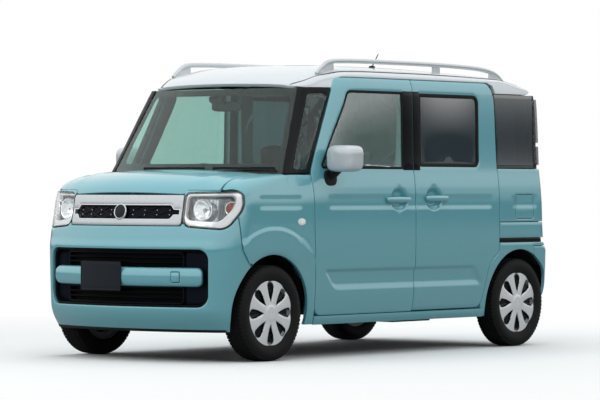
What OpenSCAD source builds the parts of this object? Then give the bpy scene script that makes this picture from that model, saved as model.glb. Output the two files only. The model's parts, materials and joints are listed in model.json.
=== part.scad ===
/* [Body] */
// Width over the body sides
car_width = 1475; // [1430:5:1500]
// From the nose to the front axle
front_overhang = 542; // [530:2:560]
// Front axle to rear axle
wheelbase = 2460; // [2430:5:2480]
// From the rear axle to the tail
rear_overhang = 393; // [385:1:410]
// Wall of the doors and sides below the glass
door_wall = 58; // [45:1:65]
// Wall of the pillars and window frames
frame_wall = 44; // [36:1:50]
// Wall of the bolted outer panels and bumper skins
panel_wall = 30; // [20:1:36]
// Gap between neighbouring panels
shut_gap = 7; // [6:0.5:10]
// Rise of the roof's middle above its edge over the doors
roof_crown = 90; // [75:1:110]
// Wall of the roof
roof_wall = 30; // [20:1:40]

/* [Glass] */
// Thickness of the panes
glass_wall = 5; // [4:0.5:6]
// How far the panes sit behind the panels
glass_depth = 4; // [2:0.5:8]
// Gap round each pane
glass_gap = 0.3; // [0.2:0.1:0.6]

/* [Wheels] */
// Distance between the wheels' middle planes
track = 1296; // [1270:2:1310]
// Outer diameter of the tyres
tyre_d = 557; // [540:1:565]
// Width of the tyres
tyre_w = 155; // [145:1:160]
// Diameter of the rim's flange and the wheel cover
rim_d = 386; // [370:1:395]
// Number of arms on the wheel cover
cover_arms = 8; // [6:1:10]
// Radius of the wheel arch openings
arch_r = 338; // [334:1:344]
// Radius of the stub axles
stub_r = 15; // [12:0.5:18]
// Running clearance of the hubs on the stub axles
hub_gap = 0.05; // [0.03:0.01:0.09]

/* [Steering] */
// Distance of the steering axis from the middle at hub height
kingpin_y = 590; // [580:1:600]
// Lean of the steering axis towards the middle at its top
kingpin_lean = 9; // [6:0.5:12]
// Outer diameter of the steering wheel
steering_wheel_d = 370; // [350:5:390]

/* [Fittings] */
// Diameter of the roof rails' bar
rail_d = 30; // [24:1:34]
// Thickness of the door handles
grip_d = 18; // [14:1:22]
// Radius of the hinge pins
hinge_pin_r = 6; // [4:0.5:8]
// Length of the aerial
aerial_length = 105; // [80:5:120]

/* [Hidden] */
$fn = 48;
car_length = front_overhang + wheelbase + rear_overhang;
front_x = car_length / 2;
rear_x = -car_length / 2;
half_w = car_width / 2;
axle_f = front_x - front_overhang;
axle_r = axle_f - wheelbase;
hub_z = tyre_d / 2;
wheel_y = track / 2;

// Body paint, roof paint and the other colours
paint = [0.50, 0.68, 0.70];
white = [0.90, 0.92, 0.92];
black = [0.05, 0.05, 0.06];
grey = [0.35, 0.36, 0.38];
silver = [0.78, 0.79, 0.80];
steel = [0.55, 0.56, 0.58];
glass_tint = [0.45, 0.62, 0.58, 0.5];
privacy_tint = [0.12, 0.16, 0.17, 0.7];

// Plan of the body: a bowed front and rear, each with a corner arc that runs into the straight side
nose_bow_r = 1667;
nose_corner_r = 200;
tail_bow_r = 4000;
tail_corner_r = 80;
nose_bow_x = front_x - nose_bow_r;
nose_corner_y = half_w - nose_corner_r;
nose_corner_x = nose_bow_x + sqrt(pow(nose_bow_r - nose_corner_r, 2) - pow(nose_corner_y, 2));
nose_bow_end = asin(nose_corner_y / (nose_bow_r - nose_corner_r));
tail_bow_x = rear_x + tail_bow_r;
tail_corner_y = half_w - tail_corner_r;
tail_corner_x = tail_bow_x - sqrt(pow(tail_bow_r - tail_corner_r, 2) - pow(tail_corner_y, 2));
tail_bow_end = asin(tail_corner_y / (tail_bow_r - tail_corner_r));

// Section of the side: height, inset from the widest line
side_section = [[170, 52], [255, 33], [330, 22], [420, 12], [540, 4], [700, 0], [900, 0],
    [1000, 5], [1060, 12], [1110, 19], [1160, 22], [1600, 33], [1640, 43], [1668, 54], [1700, 72]];
// Lean of the nose: height, distance behind the foremost line
nose_section = [[170, 60], [210, 34], [260, 8], [310, 0], [640, 0], [700, 6], [786, 22],
    [860, 38], [966, 58], [1010, 74]];
// Lean of the tail: height, distance ahead of the rearmost line
tail_section = [[170, 40], [240, 10], [320, 0], [600, 0], [640, 18], [660, 28], [900, 46],
    [1130, 60], [1580, 92], [1640, 112], [1670, 128]];
// Narrowing of the side at the windscreen pillar: height, inset there
pillar_section = [[900, 0], [1092, 29], [1586, 104], [1700, 124]];

belt_z = 1092;
glass_top_z = 1586;
door_top_z = 1664;
sill_z = 195;
roof_edge_z = 1668;
roof_rear_z = 1666;
roof_front_z = 1622;
roof_height = roof_edge_z + roof_crown;

function side_inset(z) = lookup(z, side_section);
function nose_lean(z) = lookup(z, nose_section);
function tail_lean(z) = lookup(z, tail_section);

// Windscreen: slope and bow of the glass, and the corner where it meets the side
screen_foot_x = axle_f - 55;
screen_rake = 290 / (glass_top_z - belt_z);
screen_bow = 0.00025;
corner_foot_x = axle_f - 170;
corner_rake = 265 / (glass_top_z - belt_z);
taper_from_x = axle_f - 1055.5;
function screen_x(y, z) = screen_foot_x - (z - belt_z) * screen_rake - screen_bow * y * y;
function corner_x(z) = corner_foot_x - (z - belt_z) * corner_rake;
function taper(x, z) = lookup(z, pillar_section)
    * pow(max(0, (x - taper_from_x) / (corner_x(z) - taper_from_x)), 3);
function side_y(x, z) = half_w - side_inset(z) - taper(x, z);

// Points of the front and rear ends: a is the direction that the wall faces, k the depth below the skin
function nose_point(a, z, k) = let (d = side_inset(z) * pow(sin(a), 2) + k)
    abs(a) <= nose_bow_end
        ? [nose_bow_x + (nose_bow_r - d) * cos(a) - nose_lean(z), (nose_bow_r - d) * sin(a), z]
        : [nose_corner_x + (nose_corner_r - d) * cos(a) - nose_lean(z),
           sign(a) * nose_corner_y + (nose_corner_r - d) * sin(a), z];
function tail_point(a, z, k) = let (d = side_inset(z) * pow(sin(a), 2) + k)
    abs(180 - a) <= tail_bow_end
        ? [tail_bow_x + (tail_bow_r - d) * cos(a) + tail_lean(z), (tail_bow_r - d) * sin(a), z]
        : [tail_corner_x + (tail_corner_r - d) * cos(a) + tail_lean(z),
           sign(180 - a) * tail_corner_y + (tail_corner_r - d) * sin(a), z];

// Bonnet: distance ahead of the front axle, height on the middle line
bonnet_line = [[-60, 1116], [140, 1107], [265, 1094], [345, 1076], [405, 1052], [445, 1022],
    [468, 992], [480, 968]];
bonnet_crown = 0.00006;
bonnet_bow = 0.0003;
function bonnet_z(x, y) = lookup(x - axle_f + bonnet_bow * y * y, bonnet_line) - bonnet_crown * y * y;

// Roof: place along the car, depth of the middle line below the roof's height, height of its edge.
// Rear rows follow the rear axle, front rows the front axle, and the rest share the way between
roof_mid_from = axle_r + 264.5;
roof_mid_to = axle_f - 755.5;
quarter_top_z = 1600;
screen_top_z = 1598.5;
function rear_row(x, share, edge) = [axle_r + x, share * (roof_height - roof_rear_z), edge];
function front_row(x, share, edge) = [axle_f + x, share * (roof_height - roof_front_z), edge];
function mid_row(way, depth) = [roof_mid_from + way * (roof_mid_to - roof_mid_from), depth, roof_edge_z];
roof_line = [rear_row(-221.5, 1, quarter_top_z), rear_row(-175.5, 0.76, quarter_top_z),
    rear_row(-115.5, 0.61, quarter_top_z), rear_row(-15.5, 0.456, quarter_top_z),
    rear_row(209.5, 0.283, quarter_top_z), rear_row(264.5, 0.25, roof_edge_z),
    mid_row(0.236, 8), mid_row(0.514, 0), mid_row(0.792, 1),
    front_row(-755.5, 0.096, roof_edge_z), front_row(-621.5, 0.22, roof_edge_z),
    front_row(-565.5, 0.3, screen_top_z), front_row(-490.5, 0.44, screen_top_z),
    front_row(-415.5, 0.66, screen_top_z), front_row(-365.5, 0.897, screen_top_z),
    front_row(-349.5, 1, screen_top_z)];
roof_power = 2 / 2.2;

// A 2-D outline from corners [u, v, radius], listed anticlockwise, moved in by k
function unit(v) = v / norm(v);
function cross2(a, b) = a[0] * b[1] - a[1] * b[0];
function at2(c, i) = let (n = len(c), p = c[(i + n) % n]) [p[0], p[1]];
function meet(p, u, q, v) = abs(cross2(u, v)) < 0.0001 ? p : p + u * (cross2(q - p, v) / cross2(u, v));
function moved_corner(c, i, k) = let (u = unit(at2(c, i) - at2(c, i - 1)),
    v = unit(at2(c, i + 1) - at2(c, i)))
    meet(at2(c, i) + k * [-u[1], u[0]], u, at2(c, i) + k * [-v[1], v[0]], v);
function corner_arc(a, b, d, r, steps) = let (
        u = unit(a - b), v = unit(d - b), turn = acos(max(-1, min(1, u * v))),
        reach = r / tan(turn / 2), m = unit(u + v), c = b + m * (r / sin(turn / 2)),
        from = b + u * reach - c, s = sign(cross2(u, v)), sweep = 180 - turn)
    r < 0.5 || turn > 179 ? [b] : [for (i = [0:steps]) let (t = -s * sweep * i / steps)
        c + [from[0] * cos(t) + from[1] * sin(t) * -1, from[0] * sin(t) + from[1] * cos(t)]];
function outline(c, k = 0, steps = 4) = let (n = len(c), m = [for (i = [0:n - 1]) moved_corner(c, i, k)])
    [for (i = [0:n - 1]) let (
        a = m[(i + n - 1) % n], b = m[i], d = m[(i + 1) % n],
        bend = cross2(b - a, d - b), r = c[i][2] <= 0 ? 0 : max(0, c[i][2] - sign(bend) * k))
        each corner_arc(a, b, d, r, steps)];

// Prisms of an outline: across the car, along the car and upright
module across(c, k = 0, from = 0, to = 1000)
    translate([0, to, 0]) rotate([90, 0, 0]) linear_extrude(to - from) polygon(outline(c, k));
module along(c, k = 0, from = rear_x - 20, to = front_x + 20)
    translate([from, 0, 0]) rotate([90, 0, 90]) linear_extrude(to - from) polygon(outline(c, k));
module upright(c, k = 0, from = 0, to = 2000)
    translate([0, 0, from]) linear_extrude(to - from) polygon(outline(c, k));
module both_sides() {
    children();
    mirror([0, 1, 0]) children();
}
// One pressed skin
module pressed() resize([0, 0, 0]) children();

// A wall between an outer and an inner net of points
module wall(outer, inner) {
    n = len(outer);
    m = len(outer[0]);
    o = function(i, j) i * m + j;
    q = function(i, j) (n + i) * m + j;
    polyhedron(
        points = [for (net = [outer, inner]) for (row = net) each row],
        faces = concat(
            [for (i = [0:n - 2]) for (j = [0:m - 2]) each [
                [o(i, j), o(i + 1, j), o(i + 1, j + 1)], [o(i, j), o(i + 1, j + 1), o(i, j + 1)],
                [q(i, j), q(i + 1, j + 1), q(i + 1, j)], [q(i, j), q(i, j + 1), q(i + 1, j + 1)]]],
            [for (i = [0:n - 2]) each [
                [o(i, 0), q(i, 0), q(i + 1, 0)], [o(i, 0), q(i + 1, 0), o(i + 1, 0)],
                [o(i, m - 1), o(i + 1, m - 1), q(i + 1, m - 1)],
                    [o(i, m - 1), q(i + 1, m - 1), q(i, m - 1)]]],
            [for (j = [0:m - 2]) each [
                [o(0, j), o(0, j + 1), q(0, j + 1)], [o(0, j), q(0, j + 1), q(0, j)],
                [o(n - 1, j), q(n - 1, j + 1), o(n - 1, j + 1)],
                    [o(n - 1, j), q(n - 1, j), q(n - 1, j + 1)]]]));
}
function spread(a, b, n) = [for (i = [0:n]) a + (b - a) * i / n];

low_rows = [170, 255, 330, 420, 540, 700, 900, 1000, 1060, 1110];
high_rows = [1160, 1600, 1640, 1668, 1690];
side_rows = concat(low_rows, high_rows);
function wall_at(z, t) = t > 0 ? t : z < belt_z + 20 ? door_wall : frame_wall;

// The left side's wall between two places; t 0 takes the door's and the frame's thickness
module side_wall(xs, rows, k = 0, t = 0) wall(
    [for (x = xs) [for (z = rows) [x, side_y(x, z) - k, z]]],
    [for (x = xs) [for (z = rows) [x, side_y(x, z) - k - wall_at(z, t), z]]]);
module nose_wall(angles, rows, k, t) wall(
    [for (a = angles) [for (z = rows) nose_point(a, z, k)]],
    [for (a = angles) [for (z = rows) nose_point(a, z, k + t)]]);
// A strip of points down the left (s 1) or right (s -1) side,
// and the bumpers' walls with their wrapped ends
function side_strip(x, rows, k, s) = [for (z = rows) [x, s * (side_y(x, z) - k), z]];
function nose_net(xs, rows, k) = concat([for (x = xs) side_strip(x, rows, k, 1)],
    [for (a = nose_angles) [for (z = rows) nose_point(a, z, k)]],
    [for (i = [len(xs) - 1:-1:0]) side_strip(xs[i], rows, k, -1)]);
function tail_net(xs, rows, k) = concat([for (i = [len(xs) - 1:-1:0]) side_strip(xs[i], rows, k, -1)],
    [for (a = tail_angles) [for (z = rows) tail_point(a, z, k)]],
    [for (x = xs) side_strip(x, rows, k, 1)]);
function quarter_net(xs, rows, k) = concat([for (a = [171.1, 160, 144, 126, 108, 90]) [for (z = rows)
    tail_point(a, z, k)]],
    [for (x = xs) side_strip(x, rows, k, 1)]);
module tail_wall(angles, rows, k, t) wall(
    [for (a = angles) [for (z = rows) tail_point(a, z, k)]],
    [for (a = angles) [for (z = rows) tail_point(a, z, k + t)]]);
module screen_wall(y0, y1, n, rows, k, t) wall(
    [for (y = spread(y1, y0, n)) [for (z = rows) [screen_x(y, z) - k, y, z]]],
    [for (y = spread(y1, y0, n)) [for (z = rows) [screen_x(y, z) - k - t, y, z]]]);

nose_angles = [90, 78, 66, 54, 42, 32, 21, 14, 7, 0, -7, -14, -21, -32, -42, -54, -66, -78, -90];
tail_angles = [270, 252, 234, 216, 200, 190, 185, 180, 175, 170, 160, 144, 126, 108, 90];

// Outlines in the side view: x, z, corner radius
door_front_x = axle_f - 370;
split_share = 0.55285;
door_split_x = axle_f - split_share * wheelbase;
quarter_x = axle_r + 225;
front_door = [[door_split_x, 250, 12], [door_front_x - 38, 250, 60], [door_front_x - 14, 600, 300],
    [door_front_x, belt_z, 120], [axle_f - 618, 1600, 60], [axle_f - 660, door_top_z, 40],
        [door_split_x, door_top_z, 10]];
front_window = [[door_split_x + 100, 1120, 16], [door_front_x - 95, 1120, 16], [axle_f - 697, 1500, 60],
    [axle_f - 736, 1584, 50], [door_split_x + 100, 1584, 14]];
sliding_door = [[quarter_x + 170, 256, 70], [door_split_x, 256, 12], [door_split_x, door_top_z, 10],
    [quarter_x + 66, door_top_z, 70], [quarter_x + 24, 1560, 200], [quarter_x, 1080, 300],
        [quarter_x, 600, 50],
    [quarter_x + 100, 540, 160]];
sliding_window = [[quarter_x + 196, 1136, 45], [door_split_x - 62, 1136, 14],
    [door_split_x - 62, 1580, 14],
    [quarter_x + 196, 1580, 50]];
rear_quarter_window = [[axle_r - 165, 1138, 12], [quarter_x - 26, 1138, 12], [quarter_x - 10, 1580, 16],
    [axle_r - 165, 1580, 16]];
rear_quarter = [[axle_r - 420, sill_z, 0], [axle_r + 330, sill_z, 0], [axle_r + 330, 252, 0],
    [quarter_x + 170, 252, 74], [quarter_x + 100, 540, 160], [quarter_x, 600, 50], [quarter_x, 1080, 300],
    [quarter_x + 24, 1560, 200], [quarter_x + 30, 1603, 0], [axle_r - 420, 1603, 0]];
tail_edge_y = 612;
headlamp_side_x = axle_f + 250;
fender_front_x = axle_f + 288;
bumper_top_z = 782;
lamp_low_z = 768;
lamp_high_z = 984;
grille_half_w = 425;
mouth = [[-605, 318, 70], [605, 318, 70], [605, 650, 62], [-605, 650, 62]];
bumper_bar_outline = [[-570, 435, 38], [570, 435, 38], [570, 545, 38], [-570, 545, 38]];
fuel_flap_outline = [[axle_r - 145, 812, 18], [axle_r + 50, 812, 18], [axle_r + 50, 962, 18],
    [axle_r - 145, 962, 18]];

// Door hinge axis, behind the door's front edge and just under the skin
door_hinge_x = door_front_x - 84;
door_hinge_y = half_w - 17;
door_hinge_zs = [560, 800];
bonnet_hinge_x = axle_f + 20;
bonnet_hinge_z = 1072;
tailgate_hinge_x = axle_r - 231;
tailgate_hinge_z = 1641;
flap_hinge_x = axle_r + 38;
flap_hinge_y = half_w - 7;

// Underbody: floor, toe board, cowl, rear floor and the aprons beside the engine
floor_z = 285;
rear_floor_z = 470;
sheet = 12;
apron_y = 385;
tower_z = 880;
cabin_half_w = 560;
module box(x0, x1, y0, y1, z0, z1) translate([x0, y0, z0]) cube([x1 - x0, y1 - y0, z1 - z0]);
toe_x = axle_f - 235;
step_share = 0.19106;
step_x = axle_r + step_share * wheelbase;
rear_half_w = 440;
rear_panel_x = rear_x + 125;
footwell_y = 420;
house_x = axle_f - 322;
module floor_pan() color(grey) difference() {
    union() {
        box(step_x, house_x, -cabin_half_w, cabin_half_w, floor_z, floor_z + sheet);
        box(step_x, toe_x, -footwell_y, footwell_y, floor_z, floor_z + sheet);
        box(toe_x - sheet, toe_x, -footwell_y, footwell_y, floor_z, 1050);
        box(house_x, axle_f + 30, -cabin_half_w, cabin_half_w, 1038, 1050);
        box(step_x - sheet, step_x, -cabin_half_w, cabin_half_w, floor_z, rear_floor_z);
        box(rear_panel_x, step_x, -rear_half_w, rear_half_w, rear_floor_z, rear_floor_z + sheet);
        box(rear_panel_x, rear_panel_x + sheet, -510, 510, 330, 628);
        for (z = [[800, 900], [420, 560]]) box(axle_f + 337, axle_f + 345, -apron_y, apron_y, z[0], z[1]);
        for (y = [-300, 300]) box(rear_x + 44.4, rear_panel_x + 4, y - 20, y + 20, 440, 520);
        both_sides() {
            box(house_x - sheet, house_x, footwell_y - 8, cabin_half_w, floor_z, 1050);
            box(house_x - sheet, toe_x, footwell_y - 8, footwell_y, floor_z, 1050);
            box(toe_x - sheet, axle_f + 345, apron_y - 8, apron_y, floor_z + 15, tower_z + 20);
            box(axle_f - 120, axle_f + 60, apron_y - 8, 600, tower_z, tower_z + 10);
            box(axle_f + 60, axle_f + 120, engine_half_w + 0.3, apron_y - 4, 640, 700);
            box(rear_panel_x, step_x, rear_half_w - 8, rear_half_w, 330, rear_floor_z + 4);
            box(rear_panel_x, axle_r + 150, rear_half_w - 8, rear_half_w, 330, 620);
            box(axle_r - 90, axle_r - 20, rear_half_w - 4, 520, 602.3, 614);
            box(axle_r + 335, axle_r + 385, rear_half_w - 4, 464.7, 250, 360);
        }
    }
    for (s = [-1, 1]) translate([axle_f, s * strut_top_y, tower_z - 20]) cylinder(r = 46, h = 60);
}

lamp_front_x = axle_r - 178;
sill_inner_y = 626;
hinge_post_x = door_front_x - 20;
bumper_split_z = 636;
rail_xs = [for (x = [-1155.5, -855.5, -735.5, -660]) axle_f + x];
quarter_xs = [axle_r, quarter_x + 210];
quarter_rows = [190, 330, 540, 640, 660, 900, 1000, 1060, 1110, 1160, 1604];
module body_side_skin(flap) pressed() difference() {
    union() {
        // sill strip
        intersection() {
            side_wall([axle_r + 320, door_front_x - 48], [170, 255, 330]);
            box(axle_r + 320, door_front_x - 48, 0, half_w, sill_z, 244);
        }
        // quarter panel and the rear corner
        intersection() {
            wall(quarter_net(quarter_xs, quarter_rows, 0), quarter_net(quarter_xs, quarter_rows,
                frame_wall));
            across(rear_quarter, shut_gap / 2);
        }
        // windscreen pillar with the quarter window's frame
        wall(pillar_net(0), pillar_net(frame_wall));
        intersection() {
            screen_wall(520, 720, 4, [1070, 1330, 1600], 0, frame_wall);
            along([[664, 1094, 0], [688, 1094, 0], [600, 1598, 0], [560, 1598, 0]], 0, taper_from_x);
        }
        // frame behind the doors: sill box, hinge post, middle post, rail
        box(quarter_x + 40, axle_f - 330, cabin_half_w + 2, sill_inner_y, sill_z + 5, 330);
        box(axle_r + 330, door_front_x - 50, sill_inner_y - 4, 650, sill_z + 5, 238);
        box(hinge_post_x, hinge_post_x + 38, 580, 632, 300, 1112);
        box(hinge_post_x + 26, hinge_post_x + 38, 580, 690, 1097, 1112);
        box(hinge_post_x + 28, hinge_post_x + 38, 600, half_w - 36.5, 900, 940);
        for (x = [door_split_x - 52, quarter_x + 6]) box(x, x + 28, 636, half_w - door_wall - 0.3, 700,
            740);
        box(door_split_x - 60, door_split_x + 60, 605, 645, 300, 1630);
        side_wall(concat([quarter_x + 45], rail_xs), [1600, 1640], frame_wall + 16, 30);
        box(quarter_x - 60, quarter_x + 40, 600, 640, 640, 1602);
        box(quarter_x + 30, quarter_x + 62, 606, 640, 1594, 1606);
        box(quarter_x - 60, quarter_x - 8, 600, 690, 640, 1598);
    }
    screen_pane(-glass_gap);
    box(rear_x - 10, axle_r, 0, 1000, 0, bumper_split_z + shut_gap / 2);
    across(rear_quarter_window, 0, 630);
    across(front_quarter_window, 0);
    if (flap) across(fuel_flap_outline, -shut_gap - 2, 600);
    translate([axle_r, 0, hub_z]) rotate([-90, 0, 0]) cylinder(r = arch_r, h = 1200, $fn = 40);
    rail_slot();
    tail_lamp_pocket();
}
function door_edge_x(z) = z < 1600
    ? door_front_x + (z - belt_z) / (1600 - belt_z) * (axle_f - 618 - door_front_x) : axle_f - 618;
function pillar_net(k) = [for (i = [0:5]) [for (z = [1096, 1160, 1330, 1500, 1596])
    let (x0 = door_edge_x(z) + shut_gap / 2 + 1, x = x0 + (corner_x(z) - x0) * i / 5)
    [x, side_y(x, z) - k, z]]];
front_quarter_window = [[door_front_x + 32, 1112, 14], [corner_foot_x - 58, 1112, 14],
    [axle_f - 448, 1560, 22], [axle_f - 592, 1572, 26]];
module rail_slot() box(rear_x - 10, quarter_x - 4, half_w - 24, half_w + 30, 664, 688);
module tail_lamp_pocket() along([[570, 1150, 10], [745, 1150, 10], [745, 1575, 10], [570, 1575, 10]], 0,
    rear_x - 10, lamp_front_x);
module body_sides() color(paint) {
    body_side_skin(true);
    mirror([0, 1, 0]) body_side_skin(false);
}

function roof_w(r) = side_y(r[0], max(r[2], 1600)) - (r[0] < tail_corner_x + 90
    ? pow(tail_corner_x + 90 - r[0], 2) / 260 : 0);
roof_bow_front_x = axle_f - 855.5;
roof_bow_rear_x = axle_r + 304.5;
function roof_bow(x) = x > roof_bow_front_x ? screen_bow * pow((x - roof_bow_front_x) / 508, 1.5)
    : x < roof_bow_rear_x ? -0.000125 * pow((roof_bow_rear_x - x) / 526, 1.5) : 0;
roof_angles = [0, 16, 32, 48, 64, 78, 90];
roof_fan = concat([for (i = [6:-1:0]) roof_angles[i]], [for (i = [1:6]) -roof_angles[i]]);
function roof_net(k) = [for (a = roof_fan) [for (r = roof_line) let (
        w = roof_w(r) - (k > 0 ? 40 : 0), h = roof_height - r[1] - r[2] - k,
        y = sign(a) * w * pow(abs(sin(a)), roof_power), z = r[2] + h * pow(max(0, cos(a)), roof_power))
    [r[0] - roof_bow(r[0]) * y * y, y, z]]];
module roof() color(white) roof_solid();
function flipped(r) = [for (i = [len(r) - 1:-1:0]) r[i]];
module roof_solid() wall([for (r = roof_net(0)) flipped(r)], [for (r = roof_net(roof_wall)) flipped(r)]);
// The strip of the roof's wall under the left rail
module roof_strip() wall([for (i = [2, 3]) flipped(roof_net(0)[i])],
    [for (i = [2, 3]) flipped(roof_net(roof_wall)[i])]);

// Fender: a section that turns over the shoulder into the bonnet's surface
shoulder_x0 = axle_f - 170;
bonnet_half_w = 618;
function shoulder_r(x) = 14 + 60 * max(0, min(1, (x - shoulder_x0) / 260));
function fender_top(x) = bonnet_z(x, half_w - 50) - 2;
fender_low = [sill_z, 330, 420, 540, 700, 820, 900];
function fender_section(x, k) = let (r = shoulder_r(x), zt = fender_top(x), zs = zt - r)
    concat([for (z = fender_low) [x, side_y(min(x, corner_foot_x), z) - nose_step(x, z) - k, z]],
        [for (a = [0, 30, 60, 90]) [x, side_y(min(x, corner_foot_x), zs) - nose_step(x,
            zs) - r + (r - k) * cos(a), zs + (r - min(k, r * 0.9)) * sin(a)]],
        [[x, bonnet_half_w + shut_gap / 2, bonnet_z(x, bonnet_half_w) - min(k, 16)]]);
function nose_step(x, z) = let (u = x - nose_corner_x + nose_lean(z)) u > 0
    ? nose_corner_r - sqrt(pow(nose_corner_r, 2) - u * u) : 0;
fender_xs = [door_front_x - 20, door_front_x + 45, axle_f - 170, axle_f - 40, axle_f + 100,
    axle_f + 220, axle_f + 280, axle_f + 330];
fender_outline = [[door_front_x - 38, 190, 0], [fender_front_x, 190, 0], [fender_front_x, 806, 0],
    [axle_f + 330, 812, 0], [axle_f + 330, 1140, 0],
    [door_front_x, 1140, 0], [door_front_x, belt_z, 0], [door_front_x - 14, 600, 300]];
module fender_skin() pressed() difference() {
    intersection() {
        wall([for (x = fender_xs) fender_section(x, 0)], [for (x = fender_xs)
            fender_section(x, panel_wall)]);
        across(fender_outline, shut_gap / 2);
    }
    translate([axle_f, 0, hub_z]) rotate([-90, 0, 0]) cylinder(r = arch_r, h = 1200, $fn = 40);
    headlamp_cut(-4);
    box(door_front_x - 60, corner_foot_x + 20, 600, 760, belt_z - 1, 1200);
    box(door_front_x - 60, corner_foot_x + 50, 600, 690, 1062, 1200);
}
module fenders() color(paint) both_sides() fender_skin();

lamp_front = [[grille_half_w + 4, lamp_low_z + 14, 40], [760, lamp_low_z - 6, 0], [760, lamp_high_z, 0],
    [grille_half_w + 4, lamp_high_z - 8, 22]];
lamp_side = [[headlamp_side_x + 110, lamp_low_z - 8, 0], [front_x + 20, lamp_low_z - 8, 0],
    [front_x + 20, lamp_high_z + 10, 0],
    [headlamp_side_x, lamp_high_z, 30], [headlamp_side_x, 890, 120]];
module headlamp_cut(k) intersection() {
    along(lamp_front, k, axle_f);
    across(lamp_side, k, 300, 800);
}
lamp_rows = [740, 786, 860, 966, 1000];
lamp_angles = [96, 90, 78, 66, 54, 42, 32, 24, 18, 12];
module headlamp_skin(k, t, inset) intersection() {
    wall([for (a = lamp_angles) [for (z = lamp_rows) lamp_point(a, z, k)]],
        [for (a = lamp_angles) [for (z = lamp_rows) lamp_point(a, z, k + t)]]);
    headlamp_cut(inset);
}
function lamp_point(a, z, k) = a > 90 ? [headlamp_side_x - 20, half_w - side_inset(z) - k, z]
    : nose_point(a, z, k);
module headlamp_lenses() color(glass_tint) both_sides() pressed() headlamp_skin(0, 4, -3.7);
module headlamp_housings() color(silver) both_sides() pressed() difference() {
    headlamp_skin(4.3, 60, -3.7);
    headlamp_skin(3, 40, 16);
}

bumper_rows = [172, 210, 260, 310, 420, 540, 640, 700, 786];
module front_bumper() color(paint) pressed() difference() {
    wall(nose_net([axle_f + 160], bumper_rows, 0), nose_net([axle_f + 160], bumper_rows, panel_wall));
    along(mouth, 0, axle_f);
    both_sides() {
        headlamp_cut(-4);
        across([[axle_f - 100, 100, 0], [fender_front_x + shut_gap / 2, 100, 0],
            [fender_front_x + shut_gap / 2, 1100, 0], [axle_f - 100, 1100, 0]], 0, 400);
    }
    translate([axle_f, -1000, hub_z]) rotate([-90, 0, 0]) cylinder(r = arch_r, h = 2000, $fn = 40);
    box(axle_f, front_x + 50, -grille_half_w - 6, grille_half_w + 6, bumper_top_z - 2, 1000);
    for (s = [-1, 1]) box(axle_f + 200, front_x, s > 0 ? 690 : -760, s > 0 ? 760 : -690, 790, 900);
}
slat_zs = [348, 376, 404, 576, 604, 632];
slat_t = 9;
module lower_grille() color(black) pressed() union() {
    intersection() {
        nose_wall([66, 54, 42, 32, 21, 14, 7, 0, -7, -14, -21, -32, -42, -54, -66],
            [300, 420, 540, 670], panel_wall + 0.3, 18);
        along(mouth, -8, axle_f);
    }
    intersection() {
        nose_wall([54, 42, 32, 21, 14, 7, 0, -7, -14, -21, -32, -42, -54], [420, 560], 4, 50);
        along(bumper_bar_outline, 0, axle_f);
    }
    for (z = slat_zs) nose_wall([15, 7.5, 0, -7.5, -15], [z - slat_t / 2, z + slat_t / 2], 14,
        panel_wall);
    for (s = [-1, 1]) box(axle_f + 345.3, axle_f + 490, s * 300 - 30, s * 300 + 30, 440, 540);
    box(front_x - 30, front_x - 2, -285, 45, 395, 560);
}
module upper_grille() color(silver) pressed() difference() {
    intersection() {
        nose_wall([32, 21, 14, 7, 0, -7, -14, -21, -32], [770, 786, 860, 966, 1000], 0, 40);
        along([[-grille_half_w, bumper_top_z - 1.7, 18], [grille_half_w, bumper_top_z - 1.7, 18],
            [grille_half_w, 962, 18], [-grille_half_w, 962, 18]], 0, axle_f);
    }
    difference() {
        along([[-362, 820, 16], [362, 820, 16], [362, 902, 16], [-362, 902, 16]], 0, axle_f);
        nose_wall([32, 21, 14, 7, 0, -7, -14, -21, -32], [770, 786, 860, 966, 1000], 16, 60);
    }
}

module screen_pane(k) intersection() {
    screen_wall(-700, 700, 10, [1060, 1330, 1600], glass_depth - (k < 0 ? glass_gap : 0),
        glass_wall + (k < 0 ? 2 * glass_gap : 0));
    along([[-664, 1084, 0], [664, 1084, 0], [560, 1586, 0], [-560, 1586, 0]], k);
}
module clear_glass() color(glass_tint) pressed() {
    screen_pane(glass_gap);
    both_sides() intersection() {
        wall(pillar_net(glass_depth), pillar_net(glass_depth + glass_wall));
        across(front_quarter_window, glass_gap);
    }
}
module privacy_glass() color(privacy_tint) both_sides() pressed() {
    intersection() {
        side_wall([quarter_x - 90, door_split_x + 5], [1110, 1160, 1600], glass_depth, glass_wall);
        across(sliding_window, glass_gap);
    }
    intersection() {
        wall(quarter_net([axle_r, axle_r + 230], [1110, 1160, 1600], glass_depth),
            quarter_net([axle_r, axle_r + 230], [1110, 1160, 1600], glass_depth + glass_wall));
        across(rear_quarter_window, glass_gap);
    }
}
tail_rows = [172, 240, 320, 420, 540, 600, bumper_split_z - shut_gap / 2];
module rear_bumper() color(paint) pressed() difference() {
    wall(tail_net([axle_r], tail_rows, 0), tail_net([axle_r], tail_rows, panel_wall));
    both_sides() translate([axle_r, 520, hub_z]) rotate([-90, 0, 0])
        cylinder(r = arch_r, h = 400, $fn = 40);
    box(axle_r - 150, axle_r + 200, -1000, 1000, 0, 1000);
}
module tail_lamps() color([0.6, 0.05, 0.05]) both_sides() pressed() intersection() {
    wall([for (a = [171.2, 160, 144, 126, 108, 90]) [for (z = [1130, 1360, 1580])
        tail_point(a, z, -4)]],
        [for (a = [171.2, 160, 144, 126, 108, 90]) [for (z = [1130, 1360, 1580])
            tail_point(a, z, 40)]]);
    along([[570, 1150, 10], [745, 1150, 10], [745, 1575, 10], [570, 1575, 10]], 0.5, rear_x - 10,
        lamp_front_x);
    box(rear_x, rear_x + 400, tail_edge_y, 800, 1100, 1600);
}

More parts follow.
